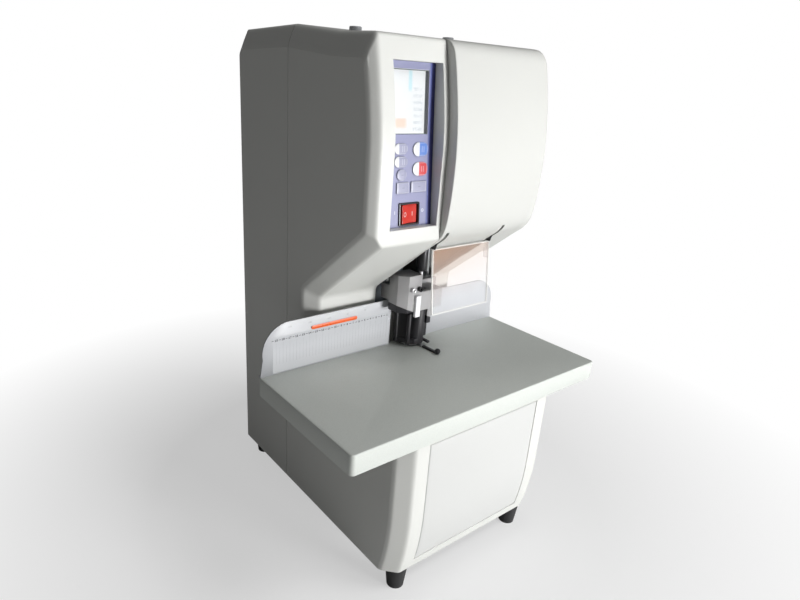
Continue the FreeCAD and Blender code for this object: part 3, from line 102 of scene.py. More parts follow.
class Finish:
    """A material: a Principled shader whose colour, roughness and relief can vary over the piece."""

    def __init__(self, name, colour, roughness=0.5, metallic=0.0, **constants):
        self.material = bpy.data.materials.new(name)
        self.material.use_nodes = True
        self.tree = self.material.node_tree
        self.shader = self.tree.nodes["Principled BSDF"]
        self.shader.inputs["Base Color"].default_value = (*colour, 1.0)
        self.shader.inputs["Roughness"].default_value = roughness
        self.shader.inputs["Metallic"].default_value = metallic
        for key, value in constants.items():
            self.shader.inputs[key.replace("_", " ")].default_value = value
        self.place = self.node("ShaderNodeTexCoord", {}, {}, "Object")

    def node(self, kind, settings, inputs, output=0):
        """Makes any node: its settings first, then the value or the link of each input."""
        made = self.tree.nodes.new(kind)
        for key, value in settings.items():
            setattr(made, key, value)
        for key, value in inputs.items():
            if isinstance(value, Value):
                self.tree.links.new(value.socket, made.inputs[key])
            else:
                made.inputs[key].default_value = value
        return Value(self, made.outputs[output])

    def feed(self, name, value):
        """Links a value that changes over the surface to one of the shader's inputs."""
        self.tree.links.new(value.socket, self.shader.inputs[name])

    def noise(self, per_metre, detail=2.0, stretch=None):
        """Soft noise, 0 to 1, with so many lumps to the metre; stretch squeezes it along each axis."""
        place = self.place
        if stretch:
            place = self.node("ShaderNodeMapping", {}, {"Vector": place, "Scale": stretch})
        return self.node("ShaderNodeTexNoise", {}, {"Vector": place, "Scale": per_metre, "Detail": detail})

    def axes(self):
        """The piece's own x, y and z as three values."""
        split = self.node("ShaderNodeSeparateXYZ", {}, {"Vector": self.place})
        return [Value(self, out) for out in split.socket.node.outputs]

    def mix(self, factor, first, second):
        """Colour mix; a colour is three numbers or a value."""
        inputs = {0: factor}
        for key, colour in ((6, first), (7, second)):
            inputs[key] = colour if isinstance(colour, Value) else (*colour, 1.0)
        return self.node("ShaderNodeMix", {"data_type": "RGBA"}, inputs, 2)

    def layers(self, colour, *covers):
        """A colour with covers laid over it in turn, each a mask and its own colour."""
        for mask, cover in covers:
            colour = self.mix(mask, colour, cover)
        return colour

    def attribute(self, name):
        """A number that each point of the piece carries."""
        return self.node("ShaderNodeAttribute", {"attribute_name": name}, {}, 2)

    def relief(self, height, depth_mm, strength=0.5):
        """Bump from a height of 0 to 1 and its depth in millimetres."""
        bump = self.node("ShaderNodeBump", {}, {"Height": height, "Distance": depth_mm * MM,
                                                "Strength": strength})
        self.feed("Normal", bump)


def tint(colour, factor):
    """The colour made darker or lighter."""
    return tuple(min(1.0, part * factor) for part in colour)


def worn(name, colour, roughness, metallic=0.0, spread=0.06, lumps=9.0, grain=900.0, grain_mm=0.05):
    """A finish whose tone drifts a little over the piece, with a fine grain in its relief."""
    finish = Finish(name, colour, roughness, metallic)
    drift = finish.noise(lumps, 3.0)
    finish.feed("Base Color", finish.mix(drift, tint(colour, 1 - spread), tint(colour, 1 + spread)))
    fine = finish.noise(grain, 1.0)
    finish.feed("Roughness", roughness + (drift - 0.5) * 0.18 + (fine - 0.5) * 0.08)
    if grain_mm:
        finish.relief(fine, grain_mm)
    return finish


print("shader helpers ready")

# %% [markdown]
# Most pieces keep their CAD mesh. It is made of loose triangles, so a Weld modifier joins them first, and then
# a small Bevel breaks the sharp corners, as a deburred or moulded edge does. Light then catches every edge.

# %% Finishing a CAD node


CREASE = math.radians(32.0)
CORNER = math.radians(35.0)
FEWEST_CAP_CORNERS = 9
WELD_MM = 0.01


def smooth_by_angle(mesh):
    """Smooth shading, with open edges, edges sharper than a crease and the flat caps kept crisp."""
    mesh.polygons.foreach_set("use_smooth", np.ones(len(mesh.polygons), bool))
    work = bmesh.new()
    work.from_mesh(mesh)
    for edge in work.edges:
        edge.smooth = len(edge.link_faces) == 2 and edge.calc_face_angle(0.0) < CREASE
    for face in work.faces:
        face.smooth = len(face.verts) < FEWEST_CAP_CORNERS
    work.to_mesh(mesh)
    work.free()


def soften(piece, width_mm, segments=2):
    """Bevel on the corners of a piece."""
    bevel = piece.modifiers.new("corners", "BEVEL")
    bevel.width = width_mm * MM
    bevel.segments = segments
    bevel.limit_method = "ANGLE"
    bevel.angle_limit = CORNER
    bevel.use_clamp_overlap = True
    bevel.harden_normals = True


def dress(node, finish, width_mm):
    """Finish and softened corners for a CAD node."""
    piece = NODES[node]
    piece.data.materials.clear()
    piece.data.materials.append(finish.material)
    piece.data.polygons.foreach_set("use_smooth", np.ones(len(piece.data.polygons), bool))
    if width_mm:
        weld = piece.modifiers.new("weld", "WELD")
        weld.merge_threshold = WELD_MM * MM
        soften(piece, width_mm)


print("node dressing ready")

# %% [markdown]
# The casing is folded and moulded sheet. Its side view is one outline, and towards the machine's flanks that
# outline shrinks, which gives the long bevels. So each casing piece is a grid: one direction runs along the
# outline, the other across the machine. Grid cells that fall in an opening are left out, and Solidify then
# gives the sheet its thickness and its rims.

# %% Sections of the casing
HALF = 136.5
WALL = 3.0
FRONT, REAR, SEAM = -211.0, 211.0, 58.0
SEAM_GAP = 0.9
KNEE = 3.0
FLANK = np.array([0.0, 0.1, 0.4, 0.9, 1.6, 2.4, 3.4, 4.8, 6.4, 8.0, 9.4, 11.0, 13.0, 15.0, 16.6, 18.0, 19.6, 21.0])
DEPTHS = {"top": (23.5, 10.0), "head": (11.0, 10.0), "throat": (20.0, 18.0), "column": (18.0, 18.0),
          "base": (18.0, 18.0), "rear": (18.0, 18.0), "crown": (29.3, 18.0), "shelf": (0.0, 18.0)}


def bevel_inset(kind, distance):
    """How far an edge of this kind has moved inwards at a distance from the flank.

    Every bevel is straight: depth times what is left of the width, eased by a parabola over a few
    millimetres at both ends.
    """
    depth, width = DEPTHS[kind]
    slope = depth / width
    straight = slope * np.maximum(width - distance, 0)
    near = np.abs(distance - width) < KNEE
    eased = np.where(near, slope * (width + KNEE - distance) ** 2 / (4 * KNEE), straight)
    flank = np.clip(1 - distance / KNEE, 0, 1)
    return eased + min(depth, KNEE) * flank ** 2


def section(outline, distance, extra=0.0):
    """The outline at a distance from the flank, as an array of (y, z).

    Every edge moves inwards along its normal by its bevel, neighbours are cut with each other, pinned corners
    slide along their edge to the height or depth they are pinned to, points of the head's curve that the
    bevels have eaten away join its brow or its chin, and each corner with a radius becomes a parabola between
    the points where its round begins and ends.
    """
    points = np.array([corner[:2] for corner in outline])
    along = np.diff(points, axis=0)
    along = np.vstack([along, along[-1:]])
    along /= np.linalg.norm(along, axis=1, keepdims=True)
    inward = np.stack([-along[:, 1], along[:, 0]], axis=1)
    steps = np.array([bevel_inset(corner[2], distance) for corner in outline]) + extra
    moved = points + inward * steps[:, None]
    before, after = along[:-1], along[1:]
    cross = before[:, 0] * after[:, 1] - before[:, 1] * after[:, 0]
    gap = moved[1:] - moved[:-1]
    safe = np.where(np.abs(cross) < 0.02, 1.0, cross)
    reach = (gap[:, 0] * after[:, 1] - gap[:, 1] * after[:, 0]) / safe
    met = moved[:-1] + before * reach[:, None]
    flat = np.abs(cross) < 0.02
    plain = moved[1:] - (steps[1:] - steps[:-1])[:, None] * inward[1:] * 0.5
    corners = np.vstack([moved[:1], np.where(flat[:, None], plain, met)])
    end = moved[-2] + along[-2] * np.linalg.norm(points[-1] - points[-2])
    corners[-1] = end
    for index, corner in enumerate(outline):
        if corner[4] is not None:
            axis = "yz".index(corner[4])
            line = min(index, len(outline) - 2)
            share = (corner[axis] - corners[index][axis]) / along[line][axis]
            corners[index] = corners[index] + along[line] * share
    radius = np.array([corner[3] for corner in outline], float)
    back = np.vstack([along[:1], along[:-1]])
    turn = np.arccos(np.clip(np.sum(back * along, axis=1), -1, 1))
    length = np.linalg.norm(np.diff(corners, axis=0), axis=1)
    room = np.minimum(np.append(length, 1e9), np.insert(length, 0, 1e9)) * 0.48
    cut = np.minimum(radius * np.tan(turn / 2), room)
    head = [index for index, corner in enumerate(outline) if corner[2] == "head"]
    if head:
        brow, chin = head[0], head[-1] + 1
        for index in (brow, chin):
            cut[index] = radius[index] * np.tan(turn[index] / 2)
        below_brow = corners[brow] + along[brow] * cut[brow]
        above_chin = corners[chin] - back[chin] * cut[chin]
        for index in head[1:]:
            if corners[index][1] > below_brow[1]:
                corners[index] = below_brow
            elif corners[index][1] < above_chin[1]:
                corners[index] = above_chin
    counts = np.where(radius > 0, 9, 1)
    which = np.repeat(np.arange(len(outline)), counts)
    share = np.concatenate([np.linspace(0, 1, count) if count > 1 else np.array([0.5]) for count in counts])
    start = (corners - back * cut[:, None])[which]
    finish = (corners + along * cut[:, None])[which]
    middle = corners[which]
    share = share[:, None]
    return (1 - share) ** 2 * start + 2 * share * (1 - share) * middle + share ** 2 * finish


def filled(stops, pitch):
    """Places on every stop and evenly between them, about a pitch apart."""
    inner = np.array(sorted(set(stops)))
    fill = [np.linspace(a, b, max(2, int((b - a) / pitch) + 1))[:-1] for a, b in zip(inner, inner[1:])]
    return np.concatenate(fill + [inner[-1:]])


def across(stops):
    """Places across the machine: close together at both flanks, and on every stop between."""
    return np.concatenate([-HALF + FLANK, filled(stops, 14), HALF - FLANK[::-1]])


def casing_rings(outline, xs):
    """Grid of (x, y, z), one ring of the outline for each place across the machine.

    One more ring lies in each flank, a little inside its edge, so that the flank stays flat in the light.
    """
    stations = [(-HALF, 0.7)] + [(x, 0.0) for x in xs] + [(HALF, 0.7)]
    rings = []
    for x, extra in stations:
        flat = section(outline, HALF - abs(x), extra)
        rings.append(np.column_stack([np.full(len(flat), x), flat]))
    return np.array(rings)


def mesh_piece(name, points, faces, finish, body="machine", closed=False, values=None):
    """A piece from points in millimetres and faces, with its finish, riding on a body.

    Closed pieces get their faces turned outwards. Values are attributes: one number for each point.
    """
    mesh = bpy.data.meshes.new(name)
    mesh.from_pydata([tuple(point) for point in np.asarray(points) * MM], [], faces)
    mesh.update()
    mesh.materials.append(finish.material)
    for key, numbers in (values or {}).items():
        mesh.attributes.new(key, "FLOAT", "POINT").data.foreach_set("value", np.asarray(numbers, np.float32))
    work = bmesh.new()
    work.from_mesh(mesh)
    bmesh.ops.remove_doubles(work, verts=work.verts, dist=0.000002)
    if closed:
        bmesh.ops.recalc_face_normals(work, faces=work.faces)
    work.to_mesh(mesh)
    work.free()
    smooth_by_angle(mesh)
    piece = bpy.data.objects.new(name, mesh)
    bpy.context.scene.collection.objects.link(piece)
    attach(piece, body)
    return piece


def grid_faces(rows, columns, keep=None, wrap=False):
    """Quads of a grid, without the cells where keep is false; wrap joins the last column to the first."""
    across_count = columns if wrap else columns - 1
    row, column = np.meshgrid(np.arange(rows - 1), np.arange(across_count), indexing="ij")
    following = (column + 1) % columns
    quads = np.stack([row * columns + column, row * columns + following,
                      (row + 1) * columns + following, (row + 1) * columns + column], axis=-1)
    if keep is not None:
        quads = quads[keep]
    return quads.reshape(-1, 4).tolist()


def end_caps(rows, columns):
    """Faces over the first and the last row of a grid."""
    return [list(range(columns)), list(range((rows - 1) * columns, rows * columns))]


def cell_middles(grid):
    """Middle of every cell of a grid."""
    return (grid[:-1, :-1] + grid[1:, :-1] + grid[:-1, 1:] + grid[1:, 1:]) / 4


def inside(x, z, box):
    """Which places lie in a box of (left, right, low, high)."""
    return (x > box[0]) & (x < box[1]) & (z > box[2]) & (z < box[3])


def thicken(piece, thickness_mm, offset=-1.0, lining=None):
    """Solidify: the sheet's thickness, inwards; a lining is the finish of its inner side."""
    solid = piece.modifiers.new("sheet", "SOLIDIFY")
    if lining:
        piece.data.materials.append(lining.material)
        solid.material_offset = 1
    solid.thickness = thickness_mm * MM
    solid.offset = offset
    solid.use_even_offset = False


print("casing helpers ready")

# %% [markdown]
# The whole machine wears one light grey powder coat. It is slightly rough, with a faint orange peel, and its
# tone drifts a little where hands and dust have been. The right head cover's coat is a shade darker, and the
# table's is coarser and darker still.

# %% Coats of paint
CASE_GREY = (0.60, 0.605, 0.58)
COAT = {"spread": 0.025, "lumps": 6.0, "grain": 700.0, "grain_mm": 0.035}
casing_paint = worn("casing_paint", CASE_GREY, 0.42, **COAT)
cover_paint = worn("cover_paint", tint(CASE_GREY, 0.92), 0.42, **COAT)
# The inner side's coat is darker: painted shade for the unlit inside of the casing, seen through its slots and
# openings.
casing_inside_shade = worn("casing_inside_shade", tint(CASE_GREY, 0.8), 0.6, spread=0.05)


def table_coat():
    """Coarse powder coat: two sizes of grain in the relief, and dark and pale specks in the colour."""
    finish = Finish("table_coat", (0.36, 0.38, 0.36), 0.5)
    fine = finish.noise(2600.0, 1.0)
    coarse = finish.noise(750.0, 2.0)
    specks = (fine * 0.6 + coarse * 0.4).ramp(0.35, 0.65)
    drift = finish.noise(7.0, 3.0)
    pale = finish.mix(drift, (0.54, 0.565, 0.535), (0.61, 0.635, 0.60))
    finish.feed("Base Color", finish.mix(specks * 0.35, pale, (0.43, 0.45, 0.43)))
    finish.feed("Roughness", 0.46 + drift * 0.12 + (specks - 0.5) * 0.12)
    finish.relief(fine * 0.5 + coarse * 0.5, 0.12, 0.6)
    return finish


print("paints", casing_paint.material.name, cover_paint.material.name)

# %% [markdown]
# The front shell is the big C: top, head, sloping throat, column, shelf and base in one outline. The control
# recess, the mechanism's opening, the drawer's opening and the seat of the right head cover are left open.

# %% Front shell
SEAT = -60.0
SIDE = -30.1
RECESS = (-108.0, -36.5, 456.0, 635.0)
OPENING = (-25.0, 84.0, 296.5)
DRAWER = (-98.0, 98.0, 46.0, 222.0)
LEAN = math.radians(4.5)
PANEL_FOOT = -108.9


def head_front(z):
    """Depth of the head's front at a height: upright below, curving back to the brow."""
    left = np.clip((np.asarray(z, float) - 545.0) / 115.0, 0, 1)
    return -119.5 + 18.5 * left ** 1.5


def base_front(z):
    """Depth of the base's front at a height: upright above, curving in to the toe."""
    below = np.clip((125.0 - np.asarray(z, float)) / 93.0, 0, 1)
    return -207.0 + 12.0 * below ** 2


def throat_z(y):
    """Height of the sloping throat at a depth."""
    return 438.0 + (y + 119.5) * (341.0 - 438.0) / 121.5


def front_shell_outline():
    """Corners of the front shell's side view: y, z, the kind of edge after it, its radius and its pin."""
    corners = [(SEAM, 672.0, "top", 0, "y"), (-38.0, 662.0, "top", 60, None), (SEAT, 661.3, "top", 0, "y"),
               (-101.0, 660.0, "head", 9, None)]
    for z in (652.0, 643.0, RECESS[3], 625.0, 614.0, 604.0, 590.0, 575.0, 560.0, 545.0):
        corners.append((float(head_front(z)), z, "head", 0, "z" if z == RECESS[3] else None))
    corners += [(-119.5, 520.0, "head", 0, None), (-119.5, 480.0, "head", 0, None),
                (-119.5, RECESS[2], "head", 0, "z"), (-119.5, 438.0, "throat", 6, None),
                (SEAT, throat_z(SEAT), "throat", 0, "y"), (2.0, 341.0, "column", 14, None),
                (2.0, OPENING[2], "column", 0, "z"), (2.0, 226.8, "shelf", 3, None),
                (-207.0, 226.8, "base", 5, None), (-207.0, DRAWER[3], "base", 0, "z"),
                (-207.0, 170.0, "base", 0, None)]
    for z in (125.0, 112.0, 98.0, 84.0, 70.0, 58.0, DRAWER[2], 38.0):
        corners.append((float(base_front(z)), z, "base", 0, "z" if z == DRAWER[2] else None))
    corners.append((-195.0, 32.0, "base", 0, "z"))
    return corners


def front_shell():
    """Grid over the front shell's outline, without its openings, with a flat cheek at each flank."""
    stops = [-HALF + FLANK[-1], RECESS[0], RECESS[1], SIDE, OPENING[0], OPENING[1], DRAWER[0], DRAWER[1],
             HALF - FLANK[-1]]
    xs = across(stops)
    grid = casing_rings(front_shell_outline(), xs)
    rows, columns = grid.shape[:2]
    x = cell_middles(grid)[:, :, 0]
    flat = cell_middles(grid)[rows // 2]
    y, z = flat[None, :, 1], flat[None, :, 2]
    recess = inside(x, z, RECESS) & (y < -80) & (y > -125)
    seat = (x > SIDE) & (y < SEAT) & (z > 380)
    mechanism = inside(x, z, (*OPENING, 400)) & (y > SEAT)
    drawer = inside(x, z, DRAWER) & (y < -180)
    faces = grid_faces(rows, columns, ~(recess | seat | mechanism | drawer))
    points = grid.reshape(-1, 3)
    corners = [(-HALF, SEAM, 32.0), (HALF, SEAM, 32.0)]
    points = np.vstack([points, corners])
    left = list(range(columns)) + [len(points) - 2]
    last = (rows - 1) * columns
    ring = grid[-1]
    used = np.flatnonzero(~((ring[:, 1] < SEAT - 0.01) & (ring[:, 2] > 380)))
    right = [last + int(index) for index in used] + [len(points) - 1]
    faces += [left, right[::-1]]
    piece = mesh_piece("front_shell_skin", points, faces, casing_paint, closed=True)
    thicken(piece, WALL, lining=casing_inside_shade)
    return piece


shell = front_shell()
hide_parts("front_shell")
print("front shell", len(shell.data.vertices), "vertices")

# %% [markdown]
# The control recess is a shallow box behind its opening. Its four walls run from the shell's face back to the
# tilted panel, so their front edge follows the head's curve.

# %% Walls of the control recess


def panel_depth(z):
    """Depth of the tilted control panel at a height."""
    return PANEL_FOOT + (np.asarray(z, float) - RECESS[2]) * math.tan(LEAN)


def recess_walls():
    """Loop round the opening, carried back from the shell's face to the panel."""
    inside = 0.25
    heights = np.linspace(RECESS[2] + inside, RECESS[3] - inside, 30)
    x = np.concatenate([np.full(30, RECESS[0] + inside), np.full(30, RECESS[1] - inside)])
    z = np.concatenate([heights, heights[::-1]])
    shares = np.array([0.0, 0.04, 0.5, 1.0])
    front = head_front(z) + 0.25
    back = panel_depth(z) + 1.0
    rows = [np.column_stack([x, front + (back - front) * share, z]) for share in shares]
    grid = np.array(rows)
    faces = grid_faces(len(shares), len(x), wrap=True)
    piece = mesh_piece("recess_walls", grid.reshape(-1, 3), faces, casing_paint)
    thicken(piece, 2.4, offset=1.0)
    return piece


walls = recess_walls()
print("recess walls", len(walls.data.polygons), "faces")

# %% [markdown]
# The right head cover bulges in front of the shell. Its profile is one smooth curve through a few measured
# places. Towards its right flank it shrinks by an ellipse, deeper upwards than forwards, and towards its left
# side by an eighth of that, which gives the crisp vertical edge beside the control panel.

# %% Right head cover
COVER_LEFT = -29.5
SLOTS = ((-23.5, -18.5), (76.5, 81.5))
SLOT_TOP = 446.0
RISE, SINK, ROUND = 23.5, 17.0, 10.0
LEFT_ROUND, LEFT_SHARE = 1.2, 0.12
COVER_PLACES = np.array([(-60.0, 661.3), (-82.0, 660.7), (-97.0, 660.0), (-106.5, 657.5), (-113.0, 651.5),
                         (-117.5, 642.0), (-124.5, 612.0), (-130.0, 580.0), (-133.2, 550.0), (-134.0, 520.0),
                         (-132.8, 490.0), (-130.0, 463.0), (-125.6, 447.5), (-118.0, 437.0), (-104.0, 426.0),
                         (-82.0, 408.3), (-60.0, 390.5)])


def smooth_path(places, count):
    """Catmull-Rom curve through the places, sampled evenly along its length."""
    ends = np.vstack([2 * places[0] - places[1], places, 2 * places[-1] - places[-2]])
    t = np.linspace(0, len(places) - 1, 1200)
    index = np.minimum(t.astype(int), len(places) - 2)
    u = (t - index)[:, None]
    a, b, c, d = (ends[index + step] for step in range(4))
    curve = 0.5 * (2 * b + (c - a) * u + (2 * a - 5 * b + 4 * c - d) * u ** 2 + (3 * b - a - 3 * c + d) * u ** 3)
    run = np.insert(np.cumsum(np.linalg.norm(np.diff(curve, axis=0), axis=1)), 0, 0)
    even = np.linspace(0, run[-1], count)
    return np.column_stack([np.interp(even, run, curve[:, axis]) for axis in range(2)])


def cover_profile():
    """The cover's outline, with a point exactly on each border of its openings."""
    path = smooth_path(COVER_PLACES, 90)
    lower = path[:, 1] < 470
    slot = int(np.argmin(np.where(lower, abs(path[:, 1] - SLOT_TOP), 1e9)))
    edge = int(np.argmin(np.where(lower, abs(path[:, 0] + 95.0), 1e9)))
    return path, slot, edge


def right_head_cover():
    """Profile points moved inwards by an ellipse's support point, times a quarter round across the piece.

    Where the profile bends tighter than the ellipse, the moved points would fold. They lie nearer to another
    profile point than the ellipse reaches, and take their place on a line between their neighbours instead.
    """
    path, slot, edge = cover_profile()
    along = np.gradient(path, axis=0)
    along /= np.linalg.norm(along, axis=1, keepdims=True)
    inward = np.stack([-along[:, 1], along[:, 0]], axis=1)
    rise = np.where(inward[:, 1] < 0, RISE, SINK)
    reach = np.hypot(ROUND * inward[:, 0], rise * inward[:, 1])
    shrink = np.stack([ROUND ** 2 * inward[:, 0], rise ** 2 * inward[:, 1]], axis=1) / reach[:, None]
    shrink[0, 0] = shrink[-1, 0] = 0.0
    target = path + shrink
    away = path[None] - target[:, None]
    span = np.where(away[..., 1] > 0, RISE, SINK)
    clear = np.hypot(away[..., 0] / ROUND, away[..., 1] / span).min(axis=1) > 0.98
    order = np.arange(len(path))
    shrink = np.column_stack([np.interp(order, order[clear], target[clear, k]) for k in (0, 1)]) - path
    distances = np.array([0.0, 0.12, 0.5, 1.1, 2.0, 3.2, 4.8, 6.6, 8.4, 10.0])
    left = COVER_LEFT + distances * LEFT_SHARE
    right = HALF - distances[::-1]
    stops = [left[-1], SLOTS[0][0], SLOTS[0][1], SLOTS[1][0], SLOTS[1][1], OPENING[0], OPENING[1], right[0]]
    xs = np.concatenate([left[:-1], filled(stops, 12), right[1:]])
    from_right = np.clip(1 - (HALF - xs) / ROUND, 0, 1)
    from_left = np.clip(1 - (xs - COVER_LEFT) / LEFT_ROUND, 0, 1)
    amount = 1 - np.sqrt(1 - from_right ** 2) + LEFT_SHARE * (1 - np.sqrt(1 - from_left ** 2))
    flat = path[None] + shrink[None] * amount[:, None, None]
    grid = np.concatenate([np.broadcast_to(xs[:, None, None], (*flat.shape[:2], 1)), flat], axis=2)
    rows, columns = grid.shape[:2]
    x = cell_middles(grid)[:, :, 0]
    column = np.arange(columns - 1)[None, :]
    mechanism = (x > OPENING[0]) & (x < OPENING[1]) & (column >= edge)
    slots = np.zeros_like(mechanism)
    for low, high in SLOTS:
        slots |= (x > low) & (x < high) & (column >= slot)
    faces = grid_faces(rows, columns, ~(mechanism | slots))
    last = (rows - 1) * columns
    faces += [list(range(columns)), list(range(last, last + columns))[::-1]]
    piece = mesh_piece("right_head_cover_skin", grid.reshape(-1, 3), faces, cover_paint, closed=True)
    thicken(piece, WALL, lining=casing_inside_shade)
    return piece


cover = right_head_cover()
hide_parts("right_head_cover")
print("right head cover", len(cover.data.vertices), "vertices")

# %% [markdown]
# The rear cover closes the machine from behind. It has two fields of louvre slots, an opening for the power
# socket and six screws. Its outline is the plainest: back, a chamfer at the top, and the top itself. Nearly a
# millimetre stays open towards the front shell, which shows as the fine seam round the casing.

# %% Rear cover
VENTS = [(430.0 + 9.0 * row, 433.5 + 9.0 * row) for row in range(9)]
VENT_SIDES = ((-59.5, -13.5), (13.5, 59.5))
SOCKET = (-91.5, -64.5, 62.0, 82.0)


def rear_cover():
    """Grid over the rear cover's outline, without its slots, with a flat cheek at each flank."""
    corners = [(REAR, 32.0, "rear", 0, "z"), (REAR, SOCKET[2], "rear", 0, "z"),
               (REAR, SOCKET[3], "rear", 0, "z")]
    for low, high in VENTS:
        corners += [(REAR, low, "rear", 0, "z"), (REAR, high, "rear", 0, "z")]
    seam = SEAM + SEAM_GAP
    corners += [(REAR, 659.2, "crown", 5, None), (201.0, 669.2, "top", 5, None), (seam, 672.0, "top", 0, "y")]
    xs = across([-HALF + FLANK[-1], *VENT_SIDES[0], *VENT_SIDES[1], SOCKET[0], SOCKET[1], HALF - FLANK[-1]])
    grid = casing_rings(corners, xs)
    rows, columns = grid.shape[:2]
    x = cell_middles(grid)[:, :, 0]
    z = cell_middles(grid)[rows // 2][None, :, 2]
    holes = inside(x, z, SOCKET)
    for heights in VENTS:
        for sides in VENT_SIDES:
            holes |= inside(x, z, (*sides, *heights))
    faces = grid_faces(rows, columns, ~holes)
    points = np.vstack([grid.reshape(-1, 3), [(-HALF, seam, 32.0), (HALF, seam, 32.0)]])
    last = (rows - 1) * columns
    faces += [list(range(columns)) + [len(points) - 2],
              (list(range(last, last + columns)) + [len(points) - 1])[::-1]]
    piece = mesh_piece("rear_cover_skin", points, faces, casing_paint, closed=True)
    thicken(piece, WALL, lining=casing_inside_shade)
    return piece


rear = rear_cover()
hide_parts("rear_cover")
print("rear cover", len(rear.data.vertices), "vertices")

# %% [markdown]
# Metals show how they were worked. Ground and turned steel carries fine lines along one direction, zinc plating
# is mottled, castings are lumpy under their primer. Plastics only drift a little in tone.

# %% Metals, plastics and rubber
LINES_PER_METRE = 260.0


def brushed(name, colour, roughness, stretch, depth_mm=0.02):
    """Metal with fine lines: noise squeezed hard across the lines, in colour, roughness and relief."""
    finish = Finish(name, colour, roughness, 1.0)
    scratches = finish.noise(LINES_PER_METRE, 2.0, stretch=stretch)
    drift = finish.noise(14.0, 2.0)
    finish.feed("Base Color", finish.mix(scratches * 0.6 + drift * 0.4, tint(colour, 0.88), tint(colour, 1.08)))
    finish.feed("Roughness", roughness + (scratches - 0.5) * 0.12 + (drift - 0.5) * 0.1)
    finish.relief(scratches, depth_mm)
    return finish


# Colour, roughness, metallic, spread of the tone, lumps and grain to the metre, depth of the grain in mm
WORN = {"zinc_plate": ((0.52, 0.53, 0.53), 0.38, 1.0, 0.09, 38.0, 420.0),
        "foot_black": ((0.016, 0.015, 0.018), 0.52, 0.0, 0.25, 60.0, 800.0),
        "black_oxide": ((0.028, 0.028, 0.031), 0.34, 0.35, 0.3, 60.0, 800.0),
        "heat_tinted_band": ((0.30, 0.25, 0.19), 0.40, 1.0, 0.25, 30.0),
        "cast_primer": ((0.10, 0.115, 0.13), 0.6, 0.0, 0.15, 25.0, 260.0, 0.3),
        "nylon_pad": ((0.72, 0.72, 0.68), 0.55, 0.0, 0.04),
        "foot_rubber": ((0.018, 0.018, 0.019), 0.72, 0.0, 0.3, 40.0, 1200.0, 0.08),
        "belt_rubber": ((0.022, 0.022, 0.024), 0.6, 0.0, 0.3, 60.0, 1500.0),
        "black_plastic": ((0.016, 0.016, 0.018), 0.3, 0.0, 0.3, 30.0, 1500.0),
        "grey_plastic": ((0.40, 0.41, 0.43), 0.42, 0.0, 0.05, 40.0),
        "motor_enamel": ((0.022, 0.022, 0.024), 0.38, 0.2, 0.25, 30.0),
        "board_green": ((0.015, 0.11, 0.045), 0.4, 0.0, 0.15, 120.0),
        "gauge_paint": ((0.455, 0.465, 0.485), 0.38, 0.0, 0.02, 8.0, 900.0, 0.02),
        "marker_orange": ((0.78, 0.11, 0.012), 0.3, 0.0, 0.06, 60.0, 900.0, 0.02)}
# Colour, roughness, how much the noise is squeezed along each axis, depth of the lines in mm
BRUSHED = {"ground_steel": ((0.60, 0.60, 0.61), 0.26, (14.0, 14.0, 1.0)),
           "turned_steel": ((0.56, 0.56, 0.57), 0.24, (1.0, 1.0, 14.0)),
           "chrome_rods": ((0.72, 0.73, 0.75), 0.10, (1.0, 1.0, 10.0), 0.004),
           "anodised_aluminium": ((0.58, 0.59, 0.61), 0.36, (1.0, 9.0, 9.0), 0.008),
           "turned_brass": ((0.66, 0.47, 0.19), 0.28, (1.0, 1.0, 12.0))}
finishes = {name: worn(name, *values) for name, values in WORN.items()}
finishes |= {name: brushed(name, *values) for name, values in BRUSHED.items()}
finishes["table_coat"] = table_coat()
finishes["display_window"] = Finish("display_window", (0.7, 0.74, 0.78), 0.06, Alpha=0.07)


def display_print():
    """Lit display: near white, rows of small grey figures, a peach field, a cyan field, and painted shade along
    the right edge, where the window's frame shades it.
    """
    finish = Finish("display_face", (0.60, 0.615, 0.62), 0.3, Emission_Strength=0.2)
    x, _, z = finish.axes()
    row = (z * 1000.0 - 3.0) % 7.0
    figures = (row < 3.2) * (finish.noise(620.0, 1.0) > 0.5) * (x > -0.0675) * (x < -0.0545)
    peach = (-0.0755 - x).ramp(0.0, 0.004) * (0.0065 - abs(z - 0.571)).ramp(0.0, 0.003)
    cyan = (0.0034 - abs(x + 0.0725)).ramp(0.0, 0.002) * (0.0125 - abs(z - 0.6155)).ramp(0.0, 0.004)
    # The last cover, right of x -0.0508, is painted shade: the display's right edge in the shadow of the window's
    # frame.
    colour = finish.layers((0.60, 0.615, 0.62), (figures * (z < 0.612) * 0.6, (0.36, 0.40, 0.44)),
                           (peach * 0.75, (0.66, 0.44, 0.33)), (cyan * 0.6, (0.30, 0.56, 0.62)),
                           (x > -0.0508, (0.012, 0.012, 0.016)))
    finish.feed("Base Color", colour)
    finish.feed("Emission Color", colour)
    finish.feed("Roughness", 0.25 + finish.noise(30.0) * 0.1)
    return finish


finishes["display_face"] = display_print()

